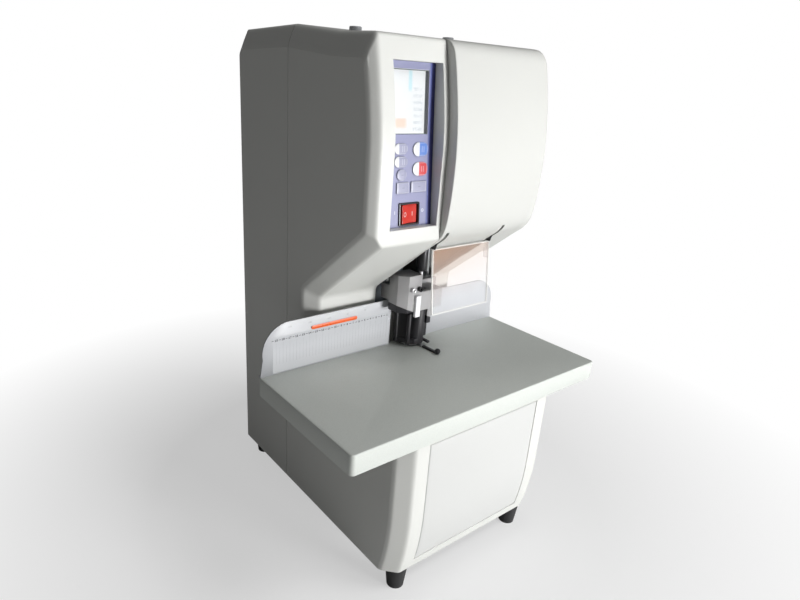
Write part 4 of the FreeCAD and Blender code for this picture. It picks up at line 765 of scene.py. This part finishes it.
# %% Finishes for the nodes that keep their CAD mesh
# For each finish its nodes, each with the width of its softened corners in mm
KEPT = {
    "zinc_plate": {"base_plate": 0.5, "table_supports": 0.4, "chip_tray": 0.3, "drawer_runners": 0.3,
                   "motor_plate": 0.4},
    "foot_rubber": {"rubber_feet": 1.2}, "grey_plastic": {"tube_inlet": 0.3, "lift_plug": 0.3},
    "black_plastic": {"power_inlet": 0.3}, "display_face": {"lcd_module": 0.3},
    "display_window": {"lcd_window": 0.0}, "board_green": {"control_board": 0.2}, "cast_primer": {"c_frame": 2.0},
    "ground_steel": {"guard_pin": 0.3, "slide_rail": 0.3, "spindle_bearings": 0.2, "spindle": 0.2,
                     "hollow_drill": 0.0, "feed_screw": 0.2},
    "turned_steel": {"anvil_post": 0.4}, "heat_tinted_band": {"die_heater": 0.3},
    "nylon_pad": {"cutting_pad": 0.15}, "turned_brass": {"rivet_die": 0.15, "heater_ring": 0.3},
    "foot_black": {"press_foot": 0.5}, "chrome_rods": {"press_rods": 0.4},
    "anodised_aluminium": {"power_supply": 0.5, "press_actuator": 0.4, "feed_carriage": 0.6, "motor_pulley": 0.3,
                           "spindle_pulley": 0.3, "control_panel": 0.2},
    "motor_enamel": {"drill_motor": 0.6, "feed_motor": 0.6}, "belt_rubber": {"drive_belt": 0.2},
    "black_oxide": {"drill_chuck": 0.3}, "table_coat": {"work_table": 1.2},
    "gauge_paint": {"left_gauge_plate": 0.3, "right_gauge_plate": 0.3}, "marker_orange": {"gauge_marker": 0.3},
}
for finish, nodes in KEPT.items():
    for node, width in nodes.items():
        dress(node, finishes[finish], width)
print("dressed", sum(len(nodes) for nodes in KEPT.values()), "nodes")

# %% [markdown]
# The control panel's plate is aluminium with a printed film glued over it: the film carries the colour and the two
# marks beside the switch, and a dark rim at the right, which is painted shade along the panel's edge by the recess
# wall.
# The keys are moulded caps on stems. Every cap is a stack of rounded rectangles, each with its own width, height,
# corner radius and height above the plate, which is how a mould maker would cut it too. Each point remembers how
# far across the cap it lies, so that the cap's colour can change there: its print, and on some caps a painted
# highlight, near white, over the left part.

# %% Pieces on the control panel
FILM_WINDOW = (8.0, 62.0, 103.5, 171.4)
FILM_SWITCH = (20.9, 51.9, 1.8, 28.2)
SWITCH = (36.4, 15.0)
ROCK = math.radians(10.0)


def on_plane(origin, inwards, upwards):
    """Map from places on a plane (across, inwards, up) to x, y and z: origin and a sum of three steps."""
    steps = np.array([(1.0, 0.0, 0.0), inwards, upwards])
    return lambda places: origin + np.asarray(places, float) @ steps


on_panel = on_plane((RECESS[0], PANEL_FOOT, RECESS[2]), (0.0, math.cos(LEAN), -math.sin(LEAN)),
                    (0.0, math.sin(LEAN), math.cos(LEAN)))
on_guard = on_plane((28.5, -107.4, 378.3), (0.0, 1.0, 0.0), (0.0, 0.112, 1.0))
on_carriage = on_plane((11.5, -46.0, 321.0), (0.0, 1.0, 0.0), (0.0, 0.0, 1.0))


def rounded_plan(width, height, radius, count=9):
    """Outline of a rounded rectangle: four quarter circles, joined by straight sides."""
    turn = np.radians(np.linspace(0, 90, count))
    arcs = []
    for quarter, (side, top) in enumerate(((1, 1), (-1, 1), (-1, -1), (1, -1))):
        angle = turn + quarter * math.pi / 2
        arcs.append(np.column_stack([side * (width / 2 - radius) + radius * np.cos(angle),
                                     top * (height / 2 - radius) + radius * np.sin(angle)]))
    return np.vstack(arcs)


def cap_stack(name, centre, rings, finish, body, place=on_panel):
    """Closed piece from rings of (width, height, radius, inwards), both ends capped; place maps its points.

    Each point carries its distance across and up from the centre, and how near the rim it lies, 0 to 1.
    """
    plans = [np.insert(rounded_plan(width, height, radius), 1, inwards, axis=1)
             for width, height, radius, inwards in rings]
    flat = np.array(plans)
    rows, columns = flat.shape[:2]
    local = flat.reshape(-1, 3)
    faces = grid_faces(rows, columns, wrap=True) + end_caps(rows, columns)
    points = place(local + np.array([centre[0], 0.0, centre[1]]))
    wide, high = (max(ring[side] for ring in rings) / 2 for side in (0, 1))
    reach = np.maximum(abs(local[:, 0]) / wide, abs(local[:, 2]) / high)
    values = {"across": local[:, 0], "above": local[:, 2], "rim": reach}
    return mesh_piece(name, points, faces, finish, body, closed=True, values=values)


def key_rings(width, height, radius, proud=1.9):
    """Rings of a key cap: a straight skirt, a small round and a nearly flat, slightly domed top."""
    rings = [(width, height, radius, -1.2)]
    for share in np.linspace(0, 1, 5):
        inset = 0.55 * (1 - math.cos(share * math.pi / 2))
        rise = 0.55 * math.sin(share * math.pi / 2)
        rings.append((width - 2 * inset, height - 2 * inset, radius - inset, -(proud - 0.75) - rise))
    for share in (0.72, 0.4, 0.15):
        rise = 0.2 * (1 - share ** 2)
        rings.append((share * (width - 2), share * (height - 2), share * (radius - 1), -proud - rise))
    return rings


def key_print(name, colour, split=None):
    """Moulded key: its colour, a paler outline near the edge, and a painted highlight, near white, left of the
    split.
    """
    finish = Finish(name, colour, 0.34)
    side = finish.attribute("across")
    drift = finish.noise(70.0, 2.0)
    rim = finish.attribute("rim")
    above = abs(finish.attribute("above"))
    covers = [(drift, tint(colour, 1.06)), ((rim > 0.82) * (rim < 0.93) * 0.4, (0.52, 0.53, 0.58))]
    if split is None:
        covers.append(((abs(side - 0.4) < 1.6) * (above < 0.4) * 0.6, (0.16, 0.16, 0.2)))
    else:
        covers.append(((abs(abs(side - 2.9) - 1.4) < 0.42) * (above < 3.2) * 0.45, (0.60, 0.62, 0.68)))
        # Left of the split the cap is painted near white: a painted highlight over the cap's left part.
        covers.append((side < split, (0.60, 0.61, 0.63)))
    finish.feed("Base Color", finish.layers(tint(colour, 0.94), *covers))
    finish.feed("Roughness", 0.3 + drift * 0.12)
    return finish


def ring_and_bar(ring_x, bar_x, up, radius, half_length, half_line):
    """Marks of a switch: where the distance from one centre is the radius, and a bar at the other centre."""
    ring = abs((ring_x * ring_x + up * up).root() - radius) < half_line
    return ring.largest((abs(bar_x) < half_line) * (abs(up) < half_length))


def panel_print():
    """Printed film: lavender, with a ring and a bar beside the switch, and painted shade at the right edge, darker
    blue to navy.
    """
    finish = Finish("panel_print", (0.23, 0.236, 0.385), 0.36)
    x, _, z = finish.axes()
    drift = finish.noise(14.0, 3.0)
    marks = ring_and_bar(x + 0.0504, x + 0.0924, z - 0.4737, 0.0015, 0.0019, 0.0004)
    # The two covers at the right, darker blue and then navy, are painted shade along the panel's right edge.
    finish.feed("Base Color", finish.layers(
        (0.215, 0.225, 0.36), (drift, (0.255, 0.26, 0.40)),
        ((z - 0.54).ramp(0.0, 0.08) * 0.25, (0.30, 0.31, 0.46)),
        (x.ramp(-0.0462, -0.0432), (0.075, 0.095, 0.29)), (x.ramp(-0.0426, -0.0418), (0.024, 0.028, 0.13)),
        (marks, (0.60, 0.61, 0.65))))
    finish.feed("Roughness", 0.3 + drift * 0.14)
    return finish


def rocker_print():
    """Red translucent rocker with a pale ring on its left wing and a pale bar on its right wing."""
    red = (0.50, 0.024, 0.018)
    finish = Finish("rocker_red", red, 0.2)
    x, _, z = finish.axes()
    glow = finish.noise(45.0, 2.0)
    marks = ring_and_bar(x + 0.0781, x + 0.0652, z - 0.4708, 0.0023, 0.0025, 0.00045)
    finish.feed("Base Color", finish.layers(tint(red, 0.82), (glow, (0.60, 0.06, 0.045)),
                                            (marks * 0.85, (0.62, 0.50, 0.48))))
    finish.feed("Roughness", 0.16 + glow * 0.12)
    return finish


def panel_film():
    """Thin sheet over the plate, a grid without the cells of the window and of the switch."""
    left, right, low, high = FILM_WINDOW
    xs = np.array([0.35, left, FILM_SWITCH[0], SWITCH[0], FILM_SWITCH[1], right, 71.15])
    ups = np.array([0.35, FILM_SWITCH[2], SWITCH[1], FILM_SWITCH[3], 60.0, low, high, 179.0])
    film = np.stack(np.meshgrid(xs, ups, indexing="ij"), axis=-1)
    local = np.stack([film[..., 0], np.full(film.shape[:2], -0.17), film[..., 1]], axis=-1)
    x = cell_middles(film)[..., 0]
    up = cell_middles(film)[..., 1]
    holes = inside(x, up, FILM_WINDOW) | inside(x, up, FILM_SWITCH)
    faces = [face[::-1] for face in grid_faces(len(xs), len(ups), ~holes)]
    piece = mesh_piece("panel_film", on_panel(local.reshape(-1, 3)), faces, panel_print())
    thicken(piece, 0.15)
    return piece


def switch_frame():
    """Cup with a flange: the rings run up the outside, over the rim and down into the pocket."""
    rings = [(28.2, 23.2, 0.8, 7.0), (28.2, 23.2, 0.8, -0.1), (31.0, 26.4, 1.4, -0.1), (31.0, 26.4, 1.4, -1.5),
             (30.7, 26.1, 1.3, -1.85), (30.2, 25.6, 1.2, -2.0), (27.7, 23.1, 0.9, -2.0), (27.2, 22.6, 0.8, -1.8),
             (27.0, 22.4, 0.7, -1.4), (27.0, 22.4, 0.7, 6.0)]
    return cap_stack("switch_frame", SWITCH, rings, finishes["black_plastic"], "machine")


def rocker():
    """V-shaped bar, swept upwards and turned by 10 degrees about its pivot."""
    half, height, valley = 12.75, 21.7, 1.2
    wing = valley + half * math.tan(ROCK)
    outline = np.array([(-half, -wing), (-half * 0.5, -(wing + valley) / 2), (0, -valley),
                        (half * 0.5, -(wing + valley) / 2), (half, -wing), (half, 0.0), (half - 4, 4.0),
                        (-half + 4, 4.0), (-half, 0.0)])
    spun = np.column_stack([outline[:, 0] * math.cos(ROCK) - outline[:, 1] * math.sin(ROCK),
                            outline[:, 0] * math.sin(ROCK) + outline[:, 1] * math.cos(ROCK)])
    rows = [np.column_stack([spun[:, 0] + SWITCH[0], spun[:, 1] + 2.0, np.full(len(spun), SWITCH[1] + up)])
            for up in np.linspace(-height / 2, height / 2, 5)]
    points = on_panel(np.vstack(rows))
    count = len(outline)
    faces = grid_faces(5, count, wrap=True) + end_caps(5, count)
    piece = mesh_piece("rocker", points, faces, rocker_print(), "rocker", closed=True)
    soften(piece, 0.7, 3)
    return piece


key_face = key_print("key_lavender", (0.29, 0.295, 0.40))
pill_face = key_print("key_lavender_highlight", (0.29, 0.295, 0.40), -3.4)
start_face = key_print("key_start_blue", (0.10, 0.20, 0.52), -2.2)
stop_face = key_print("key_stop_red", (0.55, 0.055, 0.06), -2.4)
film = panel_film()
frame_of_switch = switch_frame()
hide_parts("switch_bezel")
switch_rocker = rocker()
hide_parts("rocker_switch")
CAPS = [("up", (22.4, 88.0), (19.0, 12.0, 6.0), pill_face, "key_grey"),
        ("down", (22.6, 73.9), (19.0, 12.0, 6.0), pill_face, "key_grey"),
        ("back", (24.0, 59.6), (14.0, 12.6, 6.2), key_face, "key_grey"),
        ("start", (51.4, 87.2), (22.4, 15.4, 7.6), start_face, "key_blue"),
        ("stop", (51.4, 65.4), (22.4, 15.4, 7.6), stop_face, "key_red"),
        ("set", (25.9, 45.2), (18.2, 12.8, 1.0), key_face, "key_grey"),
        ("count", (49.8, 45.6), (23.4, 12.6, 1.0), key_face, "key_grey")]
for name, centre, plan, finish, slot in CAPS:
    cap = cap_stack("key_cap_" + name, centre, key_rings(*plan), finish, "button_" + name)
    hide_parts("key_" + name)
print("panel: film, switch and", len(CAPS), "keys")

# %% [markdown]
# The drawer front is a moulding that follows the curved base and stands a hair proud of it. Its grid is fine at
# the four edges, where the surface drops back by a quarter circle, and Solidify gives it its wall.

# %% Drawer front
drawer_paint = worn("drawer_paint", (0.525, 0.53, 0.52), 0.42, spread=0.015, lumps=6.0, grain=700.0, grain_mm=0.03)


def drawer_skin():
    """Front of the drawer: the base's curve, a low crown, and edges rounded by a quarter circle.

    The outermost lines of the grid lie on the tray, so that the last row of faces on each side is a skirt.
    """
    rounding, crown, tray_front = 2.2, 1.1, -192.5
    near = rounding * (1 - np.cos(np.radians(np.linspace(0, 90, 7))))
    xs = np.concatenate([DRAWER[0] + 0.4 + near, np.linspace(-90, 90, 19), (DRAWER[1] - 0.4 - near)[::-1]])
    zs = np.concatenate([DRAWER[2] + 0.4 + near, np.linspace(53, 215, 28), (DRAWER[3] - 0.4 - near)[::-1]])
    x, z = np.meshgrid(np.pad(xs, 1, mode="edge"), np.pad(zs, 1, mode="edge"), indexing="ij")
    to_side = np.minimum(x - xs[0], xs[-1] - x)
    to_end = np.minimum(z - zs[0], zs[-1] - z)
    drop = 0
    for distance in (to_side, to_end):
        left = np.clip(1 - distance / rounding, 0, 1)
        drop = drop + rounding * (1 - np.sqrt(1 - left ** 2))
    bow = crown * (1 - (x / 97.0) ** 4) * (1 - ((z - 134.0) / 88.0) ** 4)
    y = np.full(x.shape, tray_front)
    y[1:-1, 1:-1] = (base_front(z) - bow - 0.2 + np.minimum(drop, rounding))[1:-1, 1:-1]
    grid = np.stack([x, y, z], axis=-1)
    corners = np.zeros((x.shape[0] - 1, x.shape[1] - 1), bool)
    corners[::len(corners) - 1, ::corners.shape[1] - 1] = True
    faces = [face[::-1] for face in grid_faces(*x.shape, ~corners)]
    piece = mesh_piece("drawer_skin", grid.reshape(-1, 3), faces, drawer_paint, "drawer")
    thicken(piece, 2.1, offset=-1.0)
    return piece


drawer = drawer_skin()
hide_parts("drawer_front")
print("drawer front", len(drawer.data.vertices), "vertices")

# %% [markdown]
# The scale on the left gauge plate is ink on a thin sticker. Figures are written in a font of 3 by 5 squares, one
# small flat box for each square, and the marks are boxes as well. All boxes of one ink form one piece, made as
# whole arrays: eight corners and six faces for each row of the table.

# %% Scale on the left gauge plate
PLATE_FRONT = -11.2
FIGURES = {"0": 0b111101101101111, "1": 0b010110010010111, "2": 0b111001111100111, "3": 0b111001111001111,
           "4": 0b101101111001001, "5": 0b111100111001111, "6": 0b111100111101111, "7": 0b111001010010010,
           "8": 0b111101111101111, "9": 0b111101111001111}


def figure_boxes(text, x, z, square):
    """Squares of a number, centred on x and z, as rows of (x low, x high, z low, z high)."""
    boxes = []
    width = (4 * len(text) - 1) * square
    for place, letter in enumerate(text):
        bits = FIGURES[letter]
        for cell in range(15):
            if bits >> (14 - cell) & 1:
                left = x - width / 2 + (4 * place + cell % 3) * square
                top = z + 2.5 * square - (cell // 3) * square
                boxes.append((left, left + square, top - square, top))
    return boxes


def flat_boxes(name, boxes, front, back, finish):
    """Closed flat boxes between two depths, all in one piece."""
    low_x, high_x, low_z, high_z = np.array(boxes, float).T
    corners = [(x, y, z) for y in (0, 1) for x, z in ((0, 0), (1, 0), (1, 1), (0, 1))]
    points = np.stack([np.column_stack([np.where(x, high_x, low_x), np.full(len(low_x), (front, back)[y]),
                                        np.where(z, high_z, low_z)]) for x, y, z in corners], axis=1)
    sides = np.array([(0, 1, 2, 3), (5, 4, 7, 6), (4, 5, 1, 0), (3, 2, 6, 7), (4, 0, 3, 7), (1, 5, 6, 2)])
    faces = (sides[None] + 8 * np.arange(len(low_x))[:, None, None]).reshape(-1, 4)
    piece = mesh_piece(name, points.reshape(-1, 3), faces.tolist(), finish)
    piece.data.polygons.foreach_set("use_smooth", np.zeros(len(faces), bool))
    return piece


def sticker_finish():
    """Printed film, palest at the foot: painted light that makes up for the shade low on the plate."""
    finish = worn("sticker_white", (0.475, 0.487, 0.508), 0.42, grain_mm=0)
    _, _, z = finish.axes()
    drift = finish.noise(14.0, 3.0) * 0.1
    # Paler towards the foot: painted light against the shade that falls low on the gauge plate.
    height = (z.ramp(0.250, 0.296) + drift).smallest(1.0)
    finish.feed("Base Color", finish.mix(height, (0.63, 0.64, 0.66), (0.465, 0.477, 0.498)))
    return finish


sticker_white = sticker_finish()
scale_ink = worn("scale_ink", (0.03, 0.03, 0.035), 0.5, spread=0.2, lumps=50.0, grain_mm=0)
pale_ink = worn("pale_ink", (0.36, 0.37, 0.39), 0.5, spread=0.05, lumps=50.0, grain_mm=0)
numbers, lines, faint = [], [], []
for count in range(19):
    x = -12.0 - 10.0 * count
    numbers += figure_boxes(str(count + 1), x, 300.0, 0.58)
    numbers.append((x - 6.6, x - 3.4, 299.68, 300.32))
    lines.append((x - 0.13, x + 0.13, 266.0, 296.5))
    lines.append((x - 5.11, x - 4.89, 266.0, 290.0))
    if count % 3 == 1:
        faint += figure_boxes(str(10 * (count + 1)), x, 315.0, 0.42)
for name, boxes, front, back, finish in (
        ("scale_sticker", [(-197.0, -7.0, 254.5, 304.0)], 0.1, 0.0, sticker_white),
        ("scale_numbers", numbers, 0.16, 0.1, scale_ink), ("scale_lines", lines, 0.14, 0.1, pale_ink),
        ("scale_faint_numbers", faint, 0.05, 0.0, pale_ink)):
    piece = flat_boxes(name, boxes, PLATE_FRONT - front, PLATE_FRONT - back, finish)
print("scale", len(numbers), "dark boxes", len(lines), "lines")

# %% [markdown]
# The guard is one sheet of clear acrylic. Its faces are nearly invisible, its sawn edges catch the light, and a
# soft warm painted reflection lies over its upper half. The sheet hangs from two hooks that are blackened where
# they enter the head. A light block and a chromed screw sit on the press carriage. The heads of the rear screws
# are one polar grid, copied to six places as one array.

# %% Guard, press block and blackened parts


def guard_clear():
    """Clear sheet: little alpha on its faces, more on its edges, and a warm painted reflection in a soft slanting
    band.
    """
    finish = Finish("guard_clear", (0.85, 0.85, 0.85), 0.06, Alpha=0.25)
    x, _, z = finish.axes()
    edge = finish.attribute("rim").ramp(0.95, 0.985)
    # The band is a painted reflection: warm colour and more alpha over the sheet's upper half.
    band = ((z - 0.385) * 14.0 - x * 3.0 + finish.noise(9.0, 1.0) * 0.7).ramp(-0.1, 0.9)
    reflected = finish.mix(band, (0.66, 0.67, 0.70), (0.80, 0.54, 0.40))
    finish.feed("Base Color", finish.mix(edge, reflected, (0.90, 0.89, 0.86)))
    finish.feed("Alpha", (band * 0.17 + 0.14).largest(edge * 0.75))
    finish.feed("Roughness", 0.05 + finish.noise(40.0) * 0.06)
    return finish


HOOK_BLACK_ABOVE, LEVER_BLACK_BEFORE, CHROMED_BEFORE = 0.4212, -0.046, 0.008


def hook_finish():
    """Clear below, blackened above the sheet's top edge."""
    finish = Finish("guard_hooks", (0.82, 0.84, 0.86), 0.1, Alpha=0.2)
    _, _, z = finish.axes()
    above = z > HOOK_BLACK_ABOVE
    finish.feed("Base Color", finish.mix(above, (0.82, 0.84, 0.86), (0.02, 0.02, 0.022)))
    finish.feed("Alpha", above * 0.84 + 0.16)
    finish.feed("Roughness", 0.12 + finish.noise(60.0) * 0.2)
    return finish


def lever_finish():
    """Turned steel disc whose lever is blackened from the table's slot outwards."""
    finish = Finish("turntable_finish", (0.56, 0.56, 0.57), 0.25)
    _, y, _ = finish.axes()
    lines = finish.noise(900.0, 2.0, stretch=(1.0, 1.0, 8.0))
    black = y < LEVER_BLACK_BEFORE
    finish.feed("Base Color", finish.mix(black, finish.mix(lines, (0.48, 0.48, 0.49), (0.6, 0.6, 0.61)),
                                         (0.012, 0.012, 0.014)))
    finish.feed("Metallic", 1.0 - black * 0.9)
    finish.feed("Roughness", 0.22 + lines * 0.12 + black * 0.1)
    return finish


def screw_finish():
    """Left screw chromed, right screw blackened."""
    finish = Finish("screw_finish", (0.7, 0.7, 0.72), 0.15)
    x, _, _ = finish.axes()
    left = x < CHROMED_BEFORE
    wear = finish.noise(300.0, 2.0)
    finish.feed("Base Color", finish.mix(left, (0.02, 0.02, 0.022), (0.78, 0.78, 0.8)))
    finish.feed("Metallic", left * 0.7 + 0.3)
    finish.feed("Roughness", 0.1 + wear * 0.2)
    return finish


def carriage_finish():
    """Grey paint, with the blackened skirt at its lower left."""
    finish = Finish("carriage_finish", (0.38, 0.375, 0.38), 0.42)
    x, _, z = finish.axes()
    drift = finish.noise(22.0, 3.0)
    grey = finish.mix(drift, (0.36, 0.355, 0.36), (0.41, 0.405, 0.41))
    skirt = (z + x * 0.45 - 0.3155) < 0.0
    finish.feed("Base Color", finish.mix(skirt, grey, (0.022, 0.021, 0.025)))
    finish.feed("Roughness", 0.36 + drift * 0.14)
    finish.relief(finish.noise(800.0, 1.0), 0.04)
    return finish


half = [(50.0, 40.0, 1.0, -1.2), (98.0, 80.0, 1.4, -1.2), (103.2, 84.2, 1.6, -1.2), (104.0, 85.0, 2.0, -0.8)]
rings = half + [(*ring[:3], -ring[3]) for ring in half[::-1]]
pane = cap_stack("guard_pane", (0.0, 0.0), rings, guard_clear(), "guard", place=on_guard)
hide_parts("guard_panel")
dress("guard_arms", hook_finish(), 0.4)
dress("turntable", lever_finish(), 0.4)
dress("clamp_screws", screw_finish(), 0.25)
dress("press_carriage", carriage_finish(), 0.6)


def screw_heads():
    """Six low heads behind: a dome over rings and turns, less a cross where either of two bars covers it."""
    radii = np.array([0.25, 0.45, 0.6, 0.8, 1.0, 1.3, 1.6, 1.9, 2.1, 2.3, 2.7, 3.2, 3.7, 4.0, 4.1, 4.1])
    turns = np.linspace(0, 2 * np.pi, 72, endpoint=False)
    across_mm = radii[:, None] * np.cos(turns)
    up = radii[:, None] * np.sin(turns)
    bars = [np.clip((0.6 - abs(thin)) / 0.25, 0, 1) * np.clip((2.3 - abs(long)) / 0.3, 0, 1)
            for thin, long in ((across_mm, up), (up, across_mm))]
    dome = 0.15 + 0.85 * np.sqrt(np.clip(1 - (radii / 4.2) ** 2, 0, 1))
    outwards = dome[:, None] - 0.9 * np.maximum(*bars)
    outwards[-1] = -0.3
    head = np.stack([across_mm, REAR + outwards, up], axis=-1).reshape(-1, 3)
    rows, columns = across_mm.shape
    one = grid_faces(rows, columns, wrap=True) + end_caps(rows, columns)
    places = [(side * 106.5, z) for side in (-1, 1) for z in (60.0, 350.0, 630.0)]
    points = np.concatenate([head + (x, 0.0, z) for x, z in places])
    faces = [[corner + index * len(head) for corner in face] for index in range(len(places)) for face in one]
    piece = mesh_piece("rear_screw_heads", points, faces, finishes["zinc_plate"], closed=True)
    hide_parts("rear_cover_screws")


block_white = worn("block_white", (0.82, 0.82, 0.84), 0.35, spread=0.03, lumps=60.0, grain_mm=0)
block = cap_stack("press_block", (0.0, 0.0), [(9.0, 32.0, 0.6, -0.02), (9.0, 32.0, 0.6, -3.2),
                                              (8.6, 31.6, 0.5, -3.8), (7.8, 30.8, 0.4, -4.1)],
                  block_white, "press", place=on_carriage)
screw_heads()
print("guard sheet, hooks, lever, screws, carriage and block dressed")

# %% [markdown]
# The stage copies the photo's: a white sweep, a key light high at the front right, a low fill light in front and
# a weak even light from everywhere else. The machine's left flank therefore falls into soft shade.

# %% Floor, lights and background
FLOOR_HALF = 9.0
WHITE_FROM, WHITE_AT = 0.35, 0.85
OWN_WHITE = 0.5
AROUND = 0.115


def floor():
    """Wide square under the machine: half white of its own, all white away from it.

    The camera alone sees that white, so it adds no light to the machine, and the shadow stays, but soft.
    """
    corners = [(x * FLOOR_HALF, y * FLOOR_HALF, 0) for x, y in ((-1, -1), (1, -1), (1, 1), (-1, 1))]
    mesh = bpy.data.meshes.new("floor")
    mesh.from_pydata(corners, [], [(0, 1, 2, 3)])
    sheet = Finish("floor_sheet", (0.80, 0.80, 0.80), 0.7)
    x, y, _ = sheet.axes()
    reach = (x * x + y * y).root()
    seen = sheet.node("ShaderNodeLightPath", {}, {}, "Is Camera Ray")
    white = sheet.node("ShaderNodeEmission", {}, {"Color": (1, 1, 1, 1), "Strength": 1.0})
    shader = Value(sheet, sheet.shader.outputs[0])
    share = (reach.ramp(WHITE_FROM, WHITE_AT) * (1 - OWN_WHITE) + OWN_WHITE) * seen
    blend = sheet.node("ShaderNodeMixShader", {}, {0: share, 1: shader, 2: white})
    sheet.tree.links.new(blend.socket, sheet.tree.nodes["Material Output"].inputs["Surface"])
    mesh.materials.append(sheet.material)
    piece = bpy.data.objects.new("floor", mesh)
    bpy.context.scene.collection.objects.link(piece)


def lamp(name, place, aim, size, watts):
    """Square soft light at a place, turned to what it lights."""
    light = bpy.data.lights.new(name, "AREA")
    light.size = size
    light.energy = watts
    piece = bpy.data.objects.new(name, light)
    bpy.context.scene.collection.objects.link(piece)
    piece.location = place
    piece.rotation_euler = (Vector(aim) - Vector(place)).to_track_quat("-Z", "Y").to_euler()


def world():
    """Weak grey light from all round, and plain white where the camera sees past the machine."""
    made = bpy.data.worlds.new("surroundings")
    made.use_nodes = True
    tree = made.node_tree
    soft = tree.nodes["Background"]
    soft.inputs["Color"].default_value = (1.0, 1.0, 1.0, 1.0)
    soft.inputs["Strength"].default_value = AROUND
    plain = tree.nodes.new("ShaderNodeBackground")
    plain.inputs["Color"].default_value = (1.0, 1.0, 1.0, 1.0)
    ray = tree.nodes.new("ShaderNodeLightPath")
    blend = tree.nodes.new("ShaderNodeMixShader")
    tree.links.new(ray.outputs["Is Camera Ray"], blend.inputs[0])
    tree.links.new(soft.outputs[0], blend.inputs[1])
    tree.links.new(plain.outputs[0], blend.inputs[2])
    tree.links.new(blend.outputs[0], tree.nodes["World Output"].inputs["Surface"])
    bpy.context.scene.world = made


floor()
lamp("key_light", (0.95, -1.5, 2.75), (0.0, 0.0, 0.35), 1.0, 38.0)
lamp("low_fill", (0.62, -2.0, 0.27), (0.0, 0.0, 0.38), 0.56, 43.0)
world()

# %% [markdown]
# The camera stands where the photo's camera stood. Its place, turn and focal length were worked out from the
# level and upright edges in the picture, so that the render can be laid over it.

# %% Camera
HEADING, TILT, ROLL = -38.03, 20.80, 3.14
CAMERA_PLACE = (-0.5255, -0.6185, 0.6110)
SENSOR_MM, LENS_MM = 36.0, 26.68
SHIFT_X, SHIFT_Y = 0.0422, 0.0096


def camera():
    """Camera from its heading, downward tilt and roll, with the lens shift of the picture."""
    heading, tilt, roll = (math.radians(value) for value in (HEADING, TILT, ROLL))
    ahead = Vector((-math.sin(heading) * math.cos(tilt), math.cos(heading) * math.cos(tilt), -math.sin(tilt)))
    right = Vector((math.cos(heading), math.sin(heading), 0.0))
    up = right.cross(ahead)
    side = right * math.cos(roll) + up * math.sin(roll)
    top = -right * math.sin(roll) + up * math.cos(roll)
    turn = Matrix((side, top, -ahead)).transposed()
    data = bpy.data.cameras.new("camera")
    data.sensor_width = SENSOR_MM
    data.lens = LENS_MM
    data.shift_x = SHIFT_X
    data.shift_y = SHIFT_Y
    data.clip_start = 0.01
    piece = bpy.data.objects.new("camera", data)
    bpy.context.scene.collection.objects.link(piece)
    piece.matrix_world = Matrix.Translation(CAMERA_PLACE) @ turn.to_4x4()
    bpy.context.scene.camera = piece


camera()
bpy.context.scene.view_settings.view_transform = "Standard"
